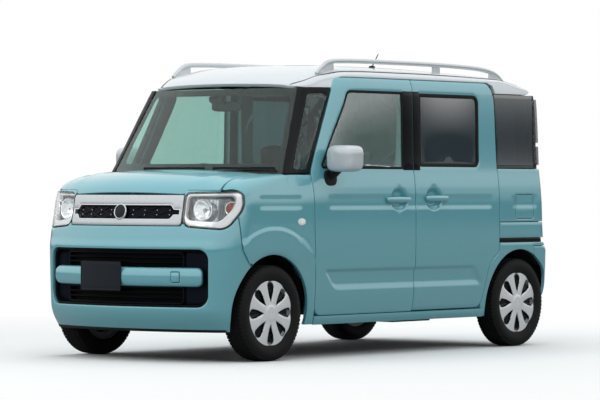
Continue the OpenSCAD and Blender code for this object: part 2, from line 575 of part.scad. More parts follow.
// Roof rails on three feet each
rail_y = 566;
rail_z = roof_height + 12;
rail_front_x = axle_f - 600;
rail_rear_x = axle_r - 40;
rail_slope = 130;
rail_mid_x = rail_rear_x + 0.379 * (rail_front_x - rail_rear_x);
// How far each sloping end of the bar comes down
rail_front_drop = 68;
rail_rear_drop = 98;
// Feet of a rail: place along the car, bottom inside the roof's wall, top inside the bar
rail_feet = [[rail_front_x - 60, roof_edge_z + 32, rail_z - rail_front_drop * 0.54],
    [rail_mid_x, roof_edge_z + 40, rail_z], [rail_rear_x + 60, roof_edge_z - 10, rail_z - rail_rear_drop * 0.54]];
// One sloping end of the bar; way 1 points forwards, -1 backwards
module rail_slice(x, z, d) translate([x, rail_y, z]) rotate([0, 90, 0])
    cylinder(d = d, h = 2, center = true, $fn = 12);
module rail_end(x, way, drop) hull() {
    rail_slice(x - way * (rail_slope + 1), rail_z, rail_d);
    rail_slice(x, rail_z - drop, rail_d * 0.7);
}
module roof_rails() color(grey) both_sides() pressed() difference() {
    union() {
        translate([rail_rear_x + rail_slope, rail_y, rail_z]) rotate([0, 90, 0])
            cylinder(d = rail_d, h = rail_front_x - rail_rear_x - 2 * rail_slope, $fn = 12);
        rail_end(rail_front_x, 1, rail_front_drop);
        rail_end(rail_rear_x, -1, rail_rear_drop);
        for (f = rail_feet) translate([f[0] - 45, rail_y - 9, f[1]]) cube([90, 18, f[2] - f[1]]);
    }
    translate([0, 0, 1.25]) roof_strip();
}
aerial_x = axle_f - 1445;
aerial_y = 330;
aerial_foot_r = 16;
// Height of the roof's middle rows at a distance from the middle line
roof_half_w = roof_w(mid_row(0.792, 0));
function roof_mid_z(y) = lookup(y, [for (a = roof_angles) if (a >= 0)
    [roof_half_w * pow(sin(a), roof_power), roof_edge_z + roof_crown * pow(cos(a), roof_power)]]);
module aerial() color(black) translate([aerial_x, aerial_y, roof_mid_z(aerial_y - aerial_foot_r) + 0.3]) {
    cylinder(r = aerial_foot_r, h = 14);
    translate([0, 0, 4]) rotate([0, -50, 0]) cylinder(r = 3.5, h = aerial_length);
}
module front_wipers() color(black) for (w = [[-320, 470, 0], [230, 400, 13]])
    translate([axle_f - 50 - screen_bow * w[0] * w[0] / 2, w[0], 1050.3]) {
    cylinder(r = 8, h = 72);
    rotate([0, 0, w[2]]) translate([-6, 0, 62]) cube([12, w[1], 12]);
}

dash_profile = [[toe_x - sheet - 0.3, 700, 10], [toe_x - sheet - 0.3, 1036, 20],
    [axle_f - 430, 1036, 60], [axle_f - 545, 940, 50], [axle_f - 520, 700, 30]];
column_tilt = 26;
steer_y = -330;
steer_x = axle_f - 690;
steer_z = 985;
module steer_place() translate([steer_x, steer_y, steer_z]) rotate([0, -(90 - column_tilt), 0])
    children();
module dashboard() color(black) {
    translate([0, footwell_y - 10, 0]) rotate([90, 0, 0]) linear_extrude(2 * footwell_y - 20)
        polygon(outline([for (i = [4:-1:0]) dash_profile[i]]));
    steer_place() translate([0, 0, -240]) cylinder(r = 34, h = 205);
    steer_place() translate([0, 0, -60]) cylinder(r = 14 - hub_gap, h = 46);
    box(axle_f - 560, axle_f - 500, -120, 120, 560, 860);
}
module steering_wheel() color(black) steer_place() {
    rotate_extrude() translate([steering_wheel_d / 2 - 15, 0]) circle(r = 15, $fn = 24);
    difference() {
        union() {
            translate([0, 0, -24]) cylinder(r = 70, h = 40);
            for (a = [90, -90, 180]) rotate([0, 0, a]) translate([0, -22, -14])
                cube([steering_wheel_d / 2 - 16, 44, 16]);
        }
        translate([0, 0, -40]) cylinder(r = 14, h = 30);
    }
}

seat_y = 320;
seat_share = 0.43089;
seat_x = axle_f - seat_share * wheelbase;
module seat_shape(x, w, base_z, back_lean, back_h) {
    translate([x, w / 2, base_z]) rotate([90, 0, 0]) linear_extrude(w)
        polygon(outline([[-250, 0, 40], [260, 30, 60], [260, 160, 60], [-250, 120, 40]]));
    translate([x - 230, w / 2, base_z + 60]) rotate([90, back_lean, 0]) linear_extrude(w)
        polygon(outline([[-70, 0, 40], [60, 0, 40], [50, back_h, 50], [-50, back_h, 40]]));
}
module front_seats() color(grey) for (s = [-1, 1]) translate([0, s * seat_y, 0]) {
    seat_shape(seat_x, 470, 440, 0, 640);
    translate([seat_x - 270, -120, 1110]) cube([80, 240, 170]);
    box(seat_x - 200, seat_x + 200, -200, 200, floor_z + sheet + 0.3, 480);
}
rear_seat_share = 0.22764;
rear_seat_x = axle_r + rear_seat_share * wheelbase;
module rear_seats() color(grey) for (s = [-1, 1]) translate([0, s * 268, 0]) {
    seat_shape(rear_seat_x, 520, 480, 0, 560);
    translate([rear_seat_x - 270, -110, 1080]) cube([70, 220, 150]);
    box(rear_seat_x - 60, rear_seat_x + 200, -220, 220, floor_z + sheet + 0.3, 520);
}
// Engine across the car: block, head cover, sump, gearbox, pulleys, air box, mounts and the pipe's flange
engine_half_w = 320;
module engine() color(steel) {
    box(axle_f - 40, axle_f + 170, -280, 120, 320, 640);
    box(axle_f - 20, axle_f + 130, -270, 110, 640, 752);
    box(axle_f - 10, axle_f + 140, -240, 80, 230, 320);
    translate([axle_f + 70, 120, 400]) rotate([-90, 0, 0]) cylinder(r1 = 160, r2 = 110, h = 190);
    for (c = [[60, 420, 75], [130, 560, 45]]) translate([axle_f + c[0], -280, c[1]]) rotate([90, 0, 0])
        cylinder(r = c[2], h = 30);
    box(axle_f - 70, axle_f + 120, 130, 300, 600, 800);
    box(axle_f + 60, axle_f + 120, -engine_half_w, engine_half_w, 646, 694);
    box(axle_f + 170, axle_f + 260, -200, 60, 420, 600);
    box(axle_f - 80, axle_f - 30, -262, -198, 230, 420);
}

strut_top_y = kingpin_y - (tower_z - hub_z) * tan(kingpin_lean);
ball_r = 10;
module kingpin_place() translate([axle_f, kingpin_y, hub_z]) rotate([kingpin_lean, 0, 0]) children();
arm_z = hub_z - 106.5;
arm_t = 22;
module front_subframe() color(black) {
    box(axle_f - 160, axle_f - 90, -340, 340, arm_z - arm_t, arm_z + arm_t + 4);
    both_sides() difference() {
        union() {
            box(axle_f - 32, axle_f + 12, 330, kingpin_y, arm_z, arm_z + arm_t);
            box(axle_f - 110, axle_f + 12, 300, 350, arm_z, arm_z + arm_t);
            kingpin_place() translate([0, 0, -108]) cylinder(r = 26, h = 26);
        }
        kingpin_place() translate([0, 0, -160]) cylinder(r = ball_r + hub_gap, h = 120);
    }
    both_sides() box(axle_f - 150, axle_f - 100, 338, apron_y - 8.3, arm_z + 4, floor_z + 45);
}
module hub_pin(y0, y1) rotate([-90, 0, 0]) translate([0, 0, y0]) cylinder(r = stub_r, h = y1 - y0);
module knuckle() color(steel) {
    translate([axle_f, 0, hub_z]) {
        hub_pin(540, wheel_y + 28);
        translate([0, 556, 0]) rotate([90, 0, 0]) cylinder(r = 48, h = 30);
        box(-26, 26, 526, 552, -72, 190);
        box(-20, 20, 530, 608, -74, -56);
    }
    kingpin_place() {
        translate([0, 0, -116]) cylinder(r = ball_r, h = 60);
        translate([0, 0, -72]) cylinder(r = 22, h = 18);
    }
    translate([axle_f, strut_top_y, tower_z]) rotate([180 - strut_lean, 0, 0]) {
        translate([0, 0, -10]) cylinder(r = 12, h = 160);
        translate([0, 0, 130]) cylinder(r = 25, h = strut_length - 130);
        translate([0, 0, 8]) cylinder(r = 40, h = 20);
        translate([0, 0, 170]) cylinder(r = 44, h = 12);
    }
}
strut_foot_y = 528;
strut_foot_z = hub_z + 150;
strut_lean = -atan((strut_foot_y - strut_top_y) / (tower_z - strut_foot_z));
strut_length = norm([strut_foot_y - strut_top_y, tower_z - strut_foot_z]);
module knuckle_left() knuckle();
module knuckle_right() mirror([0, 1, 0]) knuckle();

module rear_axle() color(black) {
    translate([axle_r + 130, 0, 290]) rotate([90, 0, 0]) cylinder(r = 34, h = 1010, center = true);
    for (s = [-1, 1]) {
        translate([axle_r + 360, s * 500, 275]) rotate([90, 0, 0])
            cylinder(r = 34, h = 70, center = true);
        box(axle_r - 70, axle_r + 360, s * 500 - 18, s * 500 + 18, 255, 300);
        translate([axle_r, 0, hub_z]) scale([1, s, 1]) {
            hub_pin(500, wheel_y + 28);
            translate([0, 556, 0]) rotate([90, 0, 0]) cylinder(r = 48, h = 40);
        }
    }
}
module rear_dampers() color(grey) for (s = [-1, 1]) translate([axle_r - 55, s * 490, 300.3]) {
    cylinder(r = 24, h = 180);
    cylinder(r = 9, h = 301.7);
}
module fuel_tank() color(black) box(step_x + 40, step_x + 420, -170, 400, 170, floor_z - 0.3);
module exhaust() color(steel) {
    translate([axle_f - 80.3, -230, 226]) rotate([0, -90, 0]) cylinder(r = 22, h = axle_f - axle_r + 40);
    translate([axle_r - 130, -320, 300]) rotate([-90, 0, 0]) cylinder(r = 80, h = 520);
}
module liner(x, y0, y1, back, ahead) translate([x, y0, hub_z]) rotate([-90, 0, 0]) difference() {
    cylinder(r = arch_r + 8, h = y1 - y0);
    translate([0, 0, -1]) cylinder(r = arch_r + 2, h = y1 - y0 + 2);
    translate([-600, -60, -1]) cube([1200, 700, y1 - y0 + 2]);
    translate([-600, -600, -1]) cube([600 - back, 700, y1 - y0 + 2]);
    translate([ahead, -600, -1]) cube([600, 700, y1 - y0 + 2]);
}
module wheel_liners() color(black) both_sides() {
    liner(axle_f, 615, 685.6, 345, 270);
    liner(axle_r, 545, 681, 240, 300);
}
module sliding_door_skin() pressed() difference() {
    intersection() {
        side_wall([quarter_x - 130, door_split_x + 25], side_rows);
        across(sliding_door, shut_gap / 2);
    }
    across(sliding_window);
    grip_cup(rear_grip_x);
    translate([axle_r, 0, hub_z]) rotate([-90, 0, 0]) cylinder(r = arch_r + 20, h = 1200, $fn = 40);
}
module sliding_doors() color(paint) both_sides() {
    sliding_door_skin();
    grip(rear_grip_x);
}
hinge_leaf = [[-6, -98, 0], [63.8, -98, 0], [63.8, -84, 0], [6, -84, 0], [6, 0, 0], [-6, 0, 0]];
module hinges() color(steel) {
    both_sides() for (z = door_hinge_zs) translate([door_hinge_x, door_hinge_y, z]) {
        cylinder(r = hinge_pin_r, h = 80);
        translate([0, 0, 25]) linear_extrude(30) polygon(outline(hinge_leaf));
    }
    for (y = [-500, 500]) {
        translate([bonnet_hinge_x, y, bonnet_hinge_z]) rotate([90, 0, 0])
            cylinder(r = hinge_pin_r, h = 60, center = true);
        box(bonnet_hinge_x - 50, bonnet_hinge_x + 6, y - 10, y + 10, bonnet_hinge_z - 21.7,
            bonnet_hinge_z - 11);
        box(bonnet_hinge_x - 6, bonnet_hinge_x + 6, y - 10, y + 10, bonnet_hinge_z - 15, bonnet_hinge_z);
    }
    for (y = [-300, 300]) {
        translate([tailgate_hinge_x, y, tailgate_hinge_z]) rotate([90, 0, 0])
            cylinder(r = hinge_pin_r, h = 60, center = true);
        box(tailgate_hinge_x, tailgate_hinge_x + 20.5, y - 10, y + 10, tailgate_hinge_z - 19,
            tailgate_hinge_z - 5.2);
    }
    translate([flap_hinge_x, flap_hinge_y, flap_z[0] - 6.7])
        cylinder(r = flap_pin_r, h = flap_z[1] - flap_z[0] + 13.4);
}
// A lug with a bore for a hinge pin along Z
module lug(reach, h) difference() {
    translate([-9, -9, 0]) cube([18, 9 + reach, h]);
    translate([0, 0, -1]) cylinder(r = hinge_pin_r + hub_gap, h = h + 2);
}

// Stations along the front door, closer together towards the windscreen pillar
front_door_xs = [for (way = [-0.025, 0.294, 0.584, 0.777, 0.893, 1])
    door_split_x + way * (door_front_x + 45 - door_split_x)];
// A pull handle over its cup: where the middle is, how long and how high
grip_z = 935;
front_grip_x = door_split_x + 180;
rear_grip_x = door_split_x - 208;
grip_length = 230;
cup_r = 120;
cup_depth = 20;
module grip_cup(x) translate([x, half_w + cup_r - cup_depth, grip_z]) sphere(r = cup_r, $fn = 24);
module grip(x) translate([x - grip_length / 2, half_w + 2, grip_z]) {
    rotate([0, 90, 0]) cylinder(d = grip_d, h = grip_length, $fn = 12);
    for (end = [grip_d / 2, grip_length - grip_d / 2]) translate([end, -10, 0]) rotate([-90, 0, 0])
        cylinder(d = grip_d, h = 10, $fn = 12);
}

module front_door_skin() pressed() difference() {
    intersection() {
        side_wall(front_door_xs, side_rows);
        across(front_door, shut_gap / 2);
    }
    across(front_window);
    grip_cup(front_grip_x);
    for (z = door_hinge_zs) box(door_hinge_x - 24, door_front_x + 30, 500, half_w - 9, z - 12, z + 92);
}
module front_door() {
    front_door_skin();
    grip(front_grip_x);
    for (z = door_hinge_zs) for (h = [2, 58]) translate([door_hinge_x, door_hinge_y, z + h]) lug(8.5, 20);
}
module front_door_left() color(paint) front_door();
module front_door_right() color(paint) mirror([0, 1, 0]) front_door();
module door_pane() pressed() intersection() {
    side_wall(front_door_xs, [1110, 1160, 1600], glass_depth, glass_wall);
    across(front_window, glass_gap);
}
module front_door_glass_left() color(glass_tint) door_pane();
module front_door_glass_right() color(glass_tint) mirror([0, 1, 0]) door_pane();
mirror_x = door_front_x - 185;
mirror_y = side_y(mirror_x, 1050);
mirror_r = 30;
mirror_cap = [[-22, 786, 1142], [-22, 892, 1142], [-22, 792, 1222], [-22, 894, 1222],
    [42, 798, 1150], [42, 880, 1150], [42, 804, 1212], [42, 882, 1212]];
module door_mirror() pressed() difference() {
    union() {
        hull() for (c = mirror_cap) translate([mirror_x + c[0], c[1], c[2]])
            sphere(r = mirror_r, $fn = 10);
        hull() {
            translate([mirror_x + 20, mirror_y - 10, 1010]) cube([70, 18, 85]);
            translate([mirror_x - 10, 770, 1110]) cube([50, 30, 20]);
        }
    }
    side_wall([for (x = [-200, 0, 120, 230]) mirror_x + x], side_rows, -0.3, 60);
    box(mirror_x - 100, mirror_x - 44, half_w, 1000, 1000, 1300);
}
module mirror_left() color(white) door_mirror();
module mirror_right() color(white) mirror([0, 1, 0]) door_mirror();

bonnet_xs = [axle_f - 60, axle_f + 60, axle_f + 180, axle_f + 265, axle_f + 330, axle_f + 385,
    axle_f + 420, axle_f + 450, axle_f + 470];
function bonnet_net(k) = [for (y = spread(-bonnet_half_w - 20, bonnet_half_w + 20,
    12)) [for (x = bonnet_xs)
    let (u = x - bonnet_bow * y * y) [u, y, bonnet_z(u, y) - k]]];
bonnet_plan = [[axle_f + 2, -bonnet_half_w, 30], [axle_f + 380, -bonnet_half_w + 10, 60],
    [axle_f + 480, -380, 300], [axle_f + 480, 380, 300],
    [axle_f + 380, bonnet_half_w - 10, 60], [axle_f + 2, bonnet_half_w, 30]];
module bonnet() color(paint) {
    bonnet_skin();
    for (y = [-524, -486, 514, 476]) translate([bonnet_hinge_x, y + 10, bonnet_hinge_z])
        rotate([90, 0, 0]) lug(13, 10);
}
module bonnet_skin() pressed() difference() {
    intersection() {
        wall(bonnet_net(0), bonnet_net(22));
        upright(bonnet_plan, shut_gap / 2);
    }
    both_sides() headlamp_cut(-9);
    box(axle_f + 300, front_x, -800, 800, 0, 967);
    for (y = [-500, 500]) box(bonnet_hinge_x - 30, bonnet_hinge_x + 24, y - 32, y + 32, 1000,
        bonnet_hinge_z + 12);
}
gate_outline = [[-tail_edge_y + 4, 636, 20], [tail_edge_y - 4, 636, 20], [tail_edge_y - 4, 1120, 60],
    [tail_edge_y - 20, 1590, 60],
    [tail_edge_y - 80, 1640, 40], [-tail_edge_y + 80, 1640, 40], [-tail_edge_y + 20, 1590, 60],
        [-tail_edge_y + 4, 1120, 60]];
gate_window = [[-520, 1120, 40], [520, 1120, 40], [510, 1540, 50], [-510, 1540, 50]];
gate_angles = [192, 188, 184, 180, 176, 172, 168];
module tailgate() color(paint) {
    tailgate_skin();
    for (y = [-330, -282, 270, 318]) translate([tailgate_hinge_x, y + 12, tailgate_hinge_z])
        rotate([90, -90, 0]) lug(14, 12);
}
module tailgate_skin() pressed() difference() {
    intersection() {
        tail_wall(gate_angles, [636, 660, 900, 1130, 1580, 1650], 0, frame_wall);
        along(gate_outline, shut_gap / 2, rear_x - 20, axle_r);
    }
    along(gate_window, 0, rear_x - 20, axle_r);
    for (y = [-300, 300]) box(tailgate_hinge_x - 13, tailgate_hinge_x + 60, y - 38, y + 38, 1600, 1700);
}
module tailgate_glass() color(privacy_tint) pressed() intersection() {
    tail_wall([188, 184, 180, 176, 172], [1100, 1130, 1580], glass_depth, glass_wall);
    along(gate_window, glass_gap, rear_x - 20, axle_r);
}
flap_z = [812, 962];
module fuel_flap() color(paint) difference() {
    pressed() intersection() {
        side_wall([axle_r - 175, axle_r + 80], [700, 900, 1000], 0, 14);
        across(fuel_flap_outline);
    }
    translate([flap_hinge_x, flap_hinge_y, 700]) cylinder(r = flap_pin_r + hub_gap, h = 400);
}
flap_pin_r = 3;

tyre_profile = [[rim_d / 2, -tyre_w / 2 + 14], [rim_d / 2 + 8, -tyre_w / 2 + 6],
    [tyre_d / 2 - 44, -tyre_w / 2],
    [tyre_d / 2 - 14, -tyre_w / 2 + 9], [tyre_d / 2 - 3, -tyre_w / 2 + 24], [tyre_d / 2, -30],
        [tyre_d / 2, 30],
    [tyre_d / 2 - 3, tyre_w / 2 - 24], [tyre_d / 2 - 14, tyre_w / 2 - 9], [tyre_d / 2 - 44, tyre_w / 2],
    [rim_d / 2 + 8, tyre_w / 2 - 6], [rim_d / 2, tyre_w / 2 - 14]];
module turned(y) translate([0, y, 0]) rotate([-90, 0, 0]) children();
module tyre() color(black) turned(0) rotate_extrude($fn = 96) polygon(tyre_profile);
cover_profile = [[0, 56], [60, 58], [150, 64], [180, 62], [rim_d / 2 - 0.5, 66], [rim_d / 2 - 0.5, 58],
    [178, 52], [60, 46], [0, 46]];
module wheel() color(silver) turned(0) difference() {
    union() {
        rotate_extrude($fn = 96) polygon([[rim_d / 2 - 20, -62], [rim_d / 2 - 0.2, -62],
            [rim_d / 2 - 0.2, 60], [rim_d / 2 - 20, 58]]);
        rotate_extrude($fn = 96) polygon(cover_profile);
        cylinder(r = rim_d / 2 - 19, h = 20, center = true);
        translate([0, 0, -40]) cylinder(r = 40, h = 96);
    }
    for (i = [0:cover_arms - 1]) rotate([0, 0, 360 / cover_arms * i]) translate([0, 0, 40])
        linear_extrude(40)
        polygon(outline([[82, -9, 7], [166, -17, 12], [166, 17, 12], [82, 9, 7]]));
    translate([0, 0, -50]) cylinder(r = stub_r + hub_gap, h = 90);
}
module wheel_at(x, side) translate([x, side * wheel_y, hub_z]) scale([1, side, 1]) children();
module tyre_front_left() wheel_at(axle_f, 1) tyre();
module wheel_front_left() wheel_at(axle_f, 1) wheel();
module tyre_front_right() wheel_at(axle_f, -1) tyre();
module wheel_front_right() wheel_at(axle_f, -1) wheel();
module tyre_rear_left() wheel_at(axle_r, 1) tyre();
module wheel_rear_left() wheel_at(axle_r, 1) wheel();
module tyre_rear_right() wheel_at(axle_r, -1) tyre();
module wheel_rear_right() wheel_at(axle_r, -1) wheel();

floor_pan();
body_sides();
roof();
fenders();
front_bumper();
lower_grille();
upper_grille();
headlamp_housings();
headlamp_lenses();
clear_glass();
privacy_glass();
rear_bumper();
tail_lamps();
roof_rails();
aerial();
front_wipers();
dashboard();
front_seats();
rear_seats();
engine();
front_subframe();
rear_axle();
rear_dampers();
fuel_tank();
exhaust();
wheel_liners();
sliding_doors();
hinges();
front_door_left();
front_door_glass_left();
mirror_left();
front_door_right();
front_door_glass_right();
mirror_right();
bonnet();
tailgate();
tailgate_glass();
fuel_flap();
steering_wheel();
knuckle_left();
knuckle_right();
tyre_front_left();
wheel_front_left();
tyre_front_right();
wheel_front_right();
tyre_rear_left();
wheel_rear_left();
tyre_rear_right();
wheel_rear_right();
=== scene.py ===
"""Looks of a small tall car: smooth pressed panels, glass, lamps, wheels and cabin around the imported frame."""
import json
import math

import bmesh
import bpy
import numpy as np
from mathutils import Matrix, Vector
from mathutils.geometry import delaunay_2d_cdt


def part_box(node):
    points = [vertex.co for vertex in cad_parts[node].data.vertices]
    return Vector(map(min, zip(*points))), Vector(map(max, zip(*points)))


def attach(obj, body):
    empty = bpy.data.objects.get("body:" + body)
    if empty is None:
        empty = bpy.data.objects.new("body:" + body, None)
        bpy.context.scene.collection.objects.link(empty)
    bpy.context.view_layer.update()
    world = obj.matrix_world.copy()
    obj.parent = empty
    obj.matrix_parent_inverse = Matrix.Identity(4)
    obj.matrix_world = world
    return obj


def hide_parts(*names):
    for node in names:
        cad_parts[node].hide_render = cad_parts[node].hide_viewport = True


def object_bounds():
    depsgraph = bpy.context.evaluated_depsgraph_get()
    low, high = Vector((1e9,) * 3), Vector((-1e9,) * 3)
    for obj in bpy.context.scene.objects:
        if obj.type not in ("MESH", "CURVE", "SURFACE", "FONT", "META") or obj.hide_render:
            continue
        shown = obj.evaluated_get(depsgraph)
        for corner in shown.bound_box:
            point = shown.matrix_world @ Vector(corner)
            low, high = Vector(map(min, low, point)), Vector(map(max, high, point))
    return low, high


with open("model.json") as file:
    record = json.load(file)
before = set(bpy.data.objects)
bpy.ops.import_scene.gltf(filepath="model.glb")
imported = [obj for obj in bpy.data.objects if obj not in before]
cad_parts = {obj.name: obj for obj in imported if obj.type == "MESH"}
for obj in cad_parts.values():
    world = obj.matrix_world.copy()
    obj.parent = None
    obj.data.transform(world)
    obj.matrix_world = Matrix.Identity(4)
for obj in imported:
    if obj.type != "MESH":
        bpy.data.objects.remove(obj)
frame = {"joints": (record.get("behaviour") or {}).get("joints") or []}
cad_bounds = [[float(c) for c in corner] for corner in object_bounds()]
pivot = {j["name"]: Vector(j["pos_m"]) for j in frame["joints"]}

# Driving sizes, in metres, from the frame
AXLE_F = pivot["front_left_wheel_turn"].x
AXLE_R = pivot["rear_left_wheel_turn"].x
WHEEL_Y = pivot["front_left_wheel_turn"].y
HUB_Z = pivot["front_left_wheel_turn"].z
FRONT_X = cad_bounds[1][0]
REAR_X = cad_bounds[0][0]
HALF_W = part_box("fuel_flap")[1].y
ROOF_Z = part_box("roof")[1].z
ARCH_R = 0.338
SHUT = 0.0022
HEM = 0.016
LIP = 0.0024
ROLL = .29  # how far a rolled edge has come in and down half-way round, against its lip
ARC_STEPS = 7  # stretches in each rounded corner of an outline

# Heights of the main lines
SILL_Z = 0.197
BELT_Z = 1.092
DOOR_TOP_Z = 1.664
BUMPER_TOP_Z = 0.783


def curve(*points):
    """A smooth curve through (place, value) points that doesn't overshoot them."""
    k, v = np.array(points, float).T
    h = np.diff(k)
    d = np.diff(v) / h
    m = np.zeros(len(k))
    same = d[:-1] * d[1:] > 0
    w1, w2 = 2 * h[1:] + h[:-1], h[1:] + 2 * h[:-1]
    m[1:-1][same] = ((w1 + w2)[same] / (w1[same] / d[:-1][same] + w2[same] / d[1:][same]))
    m[0], m[-1] = d[0], d[-1]

    def at(x):
        x = np.clip(np.asarray(x, float), k[0], k[-1])
        i = np.clip(np.searchsorted(k, x) - 1, 0, len(h) - 1)
        t = (x - k[i]) / h[i]
        a, b = v[i] * (1 + 2 * t) * (1 - t) ** 2, h[i] * m[i] * t * (1 - t) ** 2
        return a + b + v[i + 1] * t * t * (3 - 2 * t) + h[i] * m[i + 1] * t * t * (t - 1)
    return at


def ease(x, low, high):
    """A smooth step from 0 at low to 1 at high."""
    t = np.clip((np.asarray(x, float) - low) / (high - low), 0, 1)
    return t * t * (3 - 2 * t)


# Sections of the body: height against inset or lean
side_inset = curve((.17, .052), (.255, .033), (.33, .022), (.42, .012), (.54, .004), (.70, 0), (.90, 0), (1.0, .005),
                   (1.06, .012), (1.11, .019), (1.16, .022), (1.60, .033), (1.64, .043), (1.668, .054), (1.70, .072))
nose_lean = curve((.17, .060), (.21, .034), (.26, .008), (.31, 0), (.64, 0), (.70, .006), (.786, .022), (.86, .038),
                  (.966, .058), (1.01, .074))
tail_lean = curve((.17, .040), (.24, .010), (.32, 0), (.60, 0), (.64, .018), (.66, .028), (.90, .046), (1.13, .060),
                  (1.58, .092), (1.64, .112), (1.67, .128))
pillar_inset = curve((.80, 0), (.90, .0005), (1.092, .029), (1.586, .104), (1.70, .124))
bonnet_line = curve((-.06, 1.116), (.14, 1.107), (.265, 1.094), (.345, 1.076), (.405, 1.052), (.445, 1.022),
                    (.468, .992), (.480, .968), (.49, .94))
BONNET_CROWN, BONNET_BOW = .06, .30
SCREEN_FOOT_X, SCREEN_RAKE, SCREEN_BOW = AXLE_F - .055, .290 / .494, .25
CORNER_FOOT_X, CORNER_RAKE = AXLE_F - .170, .265 / .494
TAPER_X = .100


def screen_x(y, z):
    return SCREEN_FOOT_X - (z - BELT_Z) * SCREEN_RAKE - SCREEN_BOW * y * y


def corner_x(z):
    return CORNER_FOOT_X - (z - BELT_Z) * CORNER_RAKE


def side_y(x, z):
    reach = np.maximum(0, (np.minimum(x, CORNER_FOOT_X + .05) - TAPER_X) / (corner_x(z) - TAPER_X))
    return HALF_W - side_inset(z) - pillar_inset(z) * reach ** 3


def plan_end(bow_r, corner_r, tip_x, facing):
    """Plan of the nose (facing 1) or tail (facing -1): a bow, a corner arc, then the straight side."""
    yc = HALF_W - corner_r
    bow_x = tip_x - facing * bow_r
    xc = bow_x + facing * math.sqrt((bow_r - corner_r) ** 2 - yc ** 2)
    end = math.asin(yc / (bow_r - corner_r))
    return dict(bow_r=bow_r, corner_r=corner_r, bow_x=bow_x, xc=xc, yc=yc, end=end, t1=bow_r * end,
                t2=bow_r * end + corner_r * (math.pi / 2 - end), facing=facing)


NOSE = plan_end(1.667, .200, FRONT_X, 1)
TAIL = plan_end(4.000, .080, REAR_X, -1)


def end_surface(plan, lean):
    """Surface of the nose or tail over (t, z): t is the way round the plan from the middle line."""
    def surf(uv):
        t, z = uv[:, 0], uv[:, 1]
        s, far = np.sign(t), np.abs(t)
        a = np.where(far <= plan["t1"], far / plan["bow_r"],
                     np.minimum(plan["end"] + (far - plan["t1"]) / plan["corner_r"], math.pi / 2))
        d = (side_inset(z) + (pillar_inset(z) * .85 if plan is NOSE else 0)) * np.sin(a) ** 2
        bow = far <= plan["t1"]
        r = np.where(bow, plan["bow_r"], plan["corner_r"]) - d
        past = np.maximum(0, far - plan["t2"])
        x = np.where(bow, plan["bow_x"], plan["xc"]) + plan["facing"] * (
            r * np.cos(a) - lean(z) * np.maximum(0, 1 - past / .15) - past)
        y = np.where(bow, 0, plan["yc"]) + r * np.sin(a)
        return np.stack([x, s * y, z], 1)
    return surf


nose_surface = end_surface(NOSE, nose_lean)
tail_surface = end_surface(TAIL, tail_lean)


def t_of_y(y, plan=NOSE):
    """Way round the plan of the nose or tail at which it is y from the middle line."""
    far = abs(y)
    if far <= plan["bow_r"] * math.sin(plan["end"]):
        t = plan["bow_r"] * math.asin(far / plan["bow_r"])
    else:
        a = math.asin(min(1, (far - plan["yc"]) / plan["corner_r"]))
        t = plan["t1"] + plan["corner_r"] * (a - plan["end"])
    return math.copysign(t, y)


def t_of_x(x, z, plan=NOSE):
    """Way round the plan of the nose or tail at which its corner or side is at x, at height z."""
    lean = float(nose_lean(z) if plan is NOSE else tail_lean(z))
    c = (x - plan["xc"]) * plan["facing"] + lean
    if c > 0:
        return plan["t1"] + plan["corner_r"] * (math.acos(min(1, c / plan["corner_r"])) - plan["end"])
    low, high = plan["t2"], plan["t2"] + 3
    surf = nose_surface if plan is NOSE else tail_surface
    for _ in range(50):
        mid = (low + high) / 2
        if surf(np.array([[mid, z]]))[0, 0] * plan["facing"] > x * plan["facing"]:
            low = mid
        else:
            high = mid
    return low


def side_surface(uv):
    return np.stack([uv[:, 0], side_y(uv[:, 0], uv[:, 1]), uv[:, 1]], 1)


def quarter_surface(uv):
    """Rear side with its corner: u is x on the straight side and runs on round the corner."""
    u, z = uv[:, 0], uv[:, 1]
    xc = TAIL["xc"] + tail_lean(z)
    turn = np.clip((xc - u) / TAIL["corner_r"], 0, math.pi / 2 - TAIL["end"])
    past = np.maximum(0, (xc - u) - TAIL["corner_r"] * (math.pi / 2 - TAIL["end"]))
    r = TAIL["corner_r"] - side_inset(z) * np.cos(turn) ** 2
    x = np.where(turn > 0, xc - r * np.sin(turn) - past * math.sin(TAIL["end"]), u)
    y = TAIL["yc"] + r * np.cos(turn) - past * math.cos(TAIL["end"])
    return np.stack([x, np.where(turn > 0, y, side_y(u, z)), z], 1)


def screen_surface(uv):
    return np.stack([screen_x(uv[:, 0], uv[:, 1]), uv[:, 0], uv[:, 1]], 1)


def bonnet_surface(uv):
    p, y = uv[:, 0], uv[:, 1]
    return np.stack([AXLE_F + p - BONNET_BOW * y * y, y, bonnet_line(p) - BONNET_CROWN * y * y], 1)


BONNET_HALF_W = .618
FENDER_EDGE_Y = BONNET_HALF_W + SHUT


def nose_step(x, z):
    """How far the nose's corner has come in from the straight side at x."""
    u = np.clip(x - NOSE["xc"] + nose_lean(z), 0, NOSE["corner_r"] * .98)
    return NOSE["corner_r"] - np.sqrt(NOSE["corner_r"] ** 2 - u * u)


def fender_section(p):
    """Shoulder of the fender at p: side x, radius, height and width where the side turns over."""
    x = AXLE_F + p - BONNET_BOW * HALF_W ** 2
    r = .014 + .060 * ease(x, AXLE_F - .20, AXLE_F + .12)
    top = bonnet_line(p) - BONNET_CROWN * .69 ** 2 - .001
    y = side_y(np.minimum(x, CORNER_FOOT_X), top - r) - nose_step(x, top - r)
    return x, r, top, top - r, y


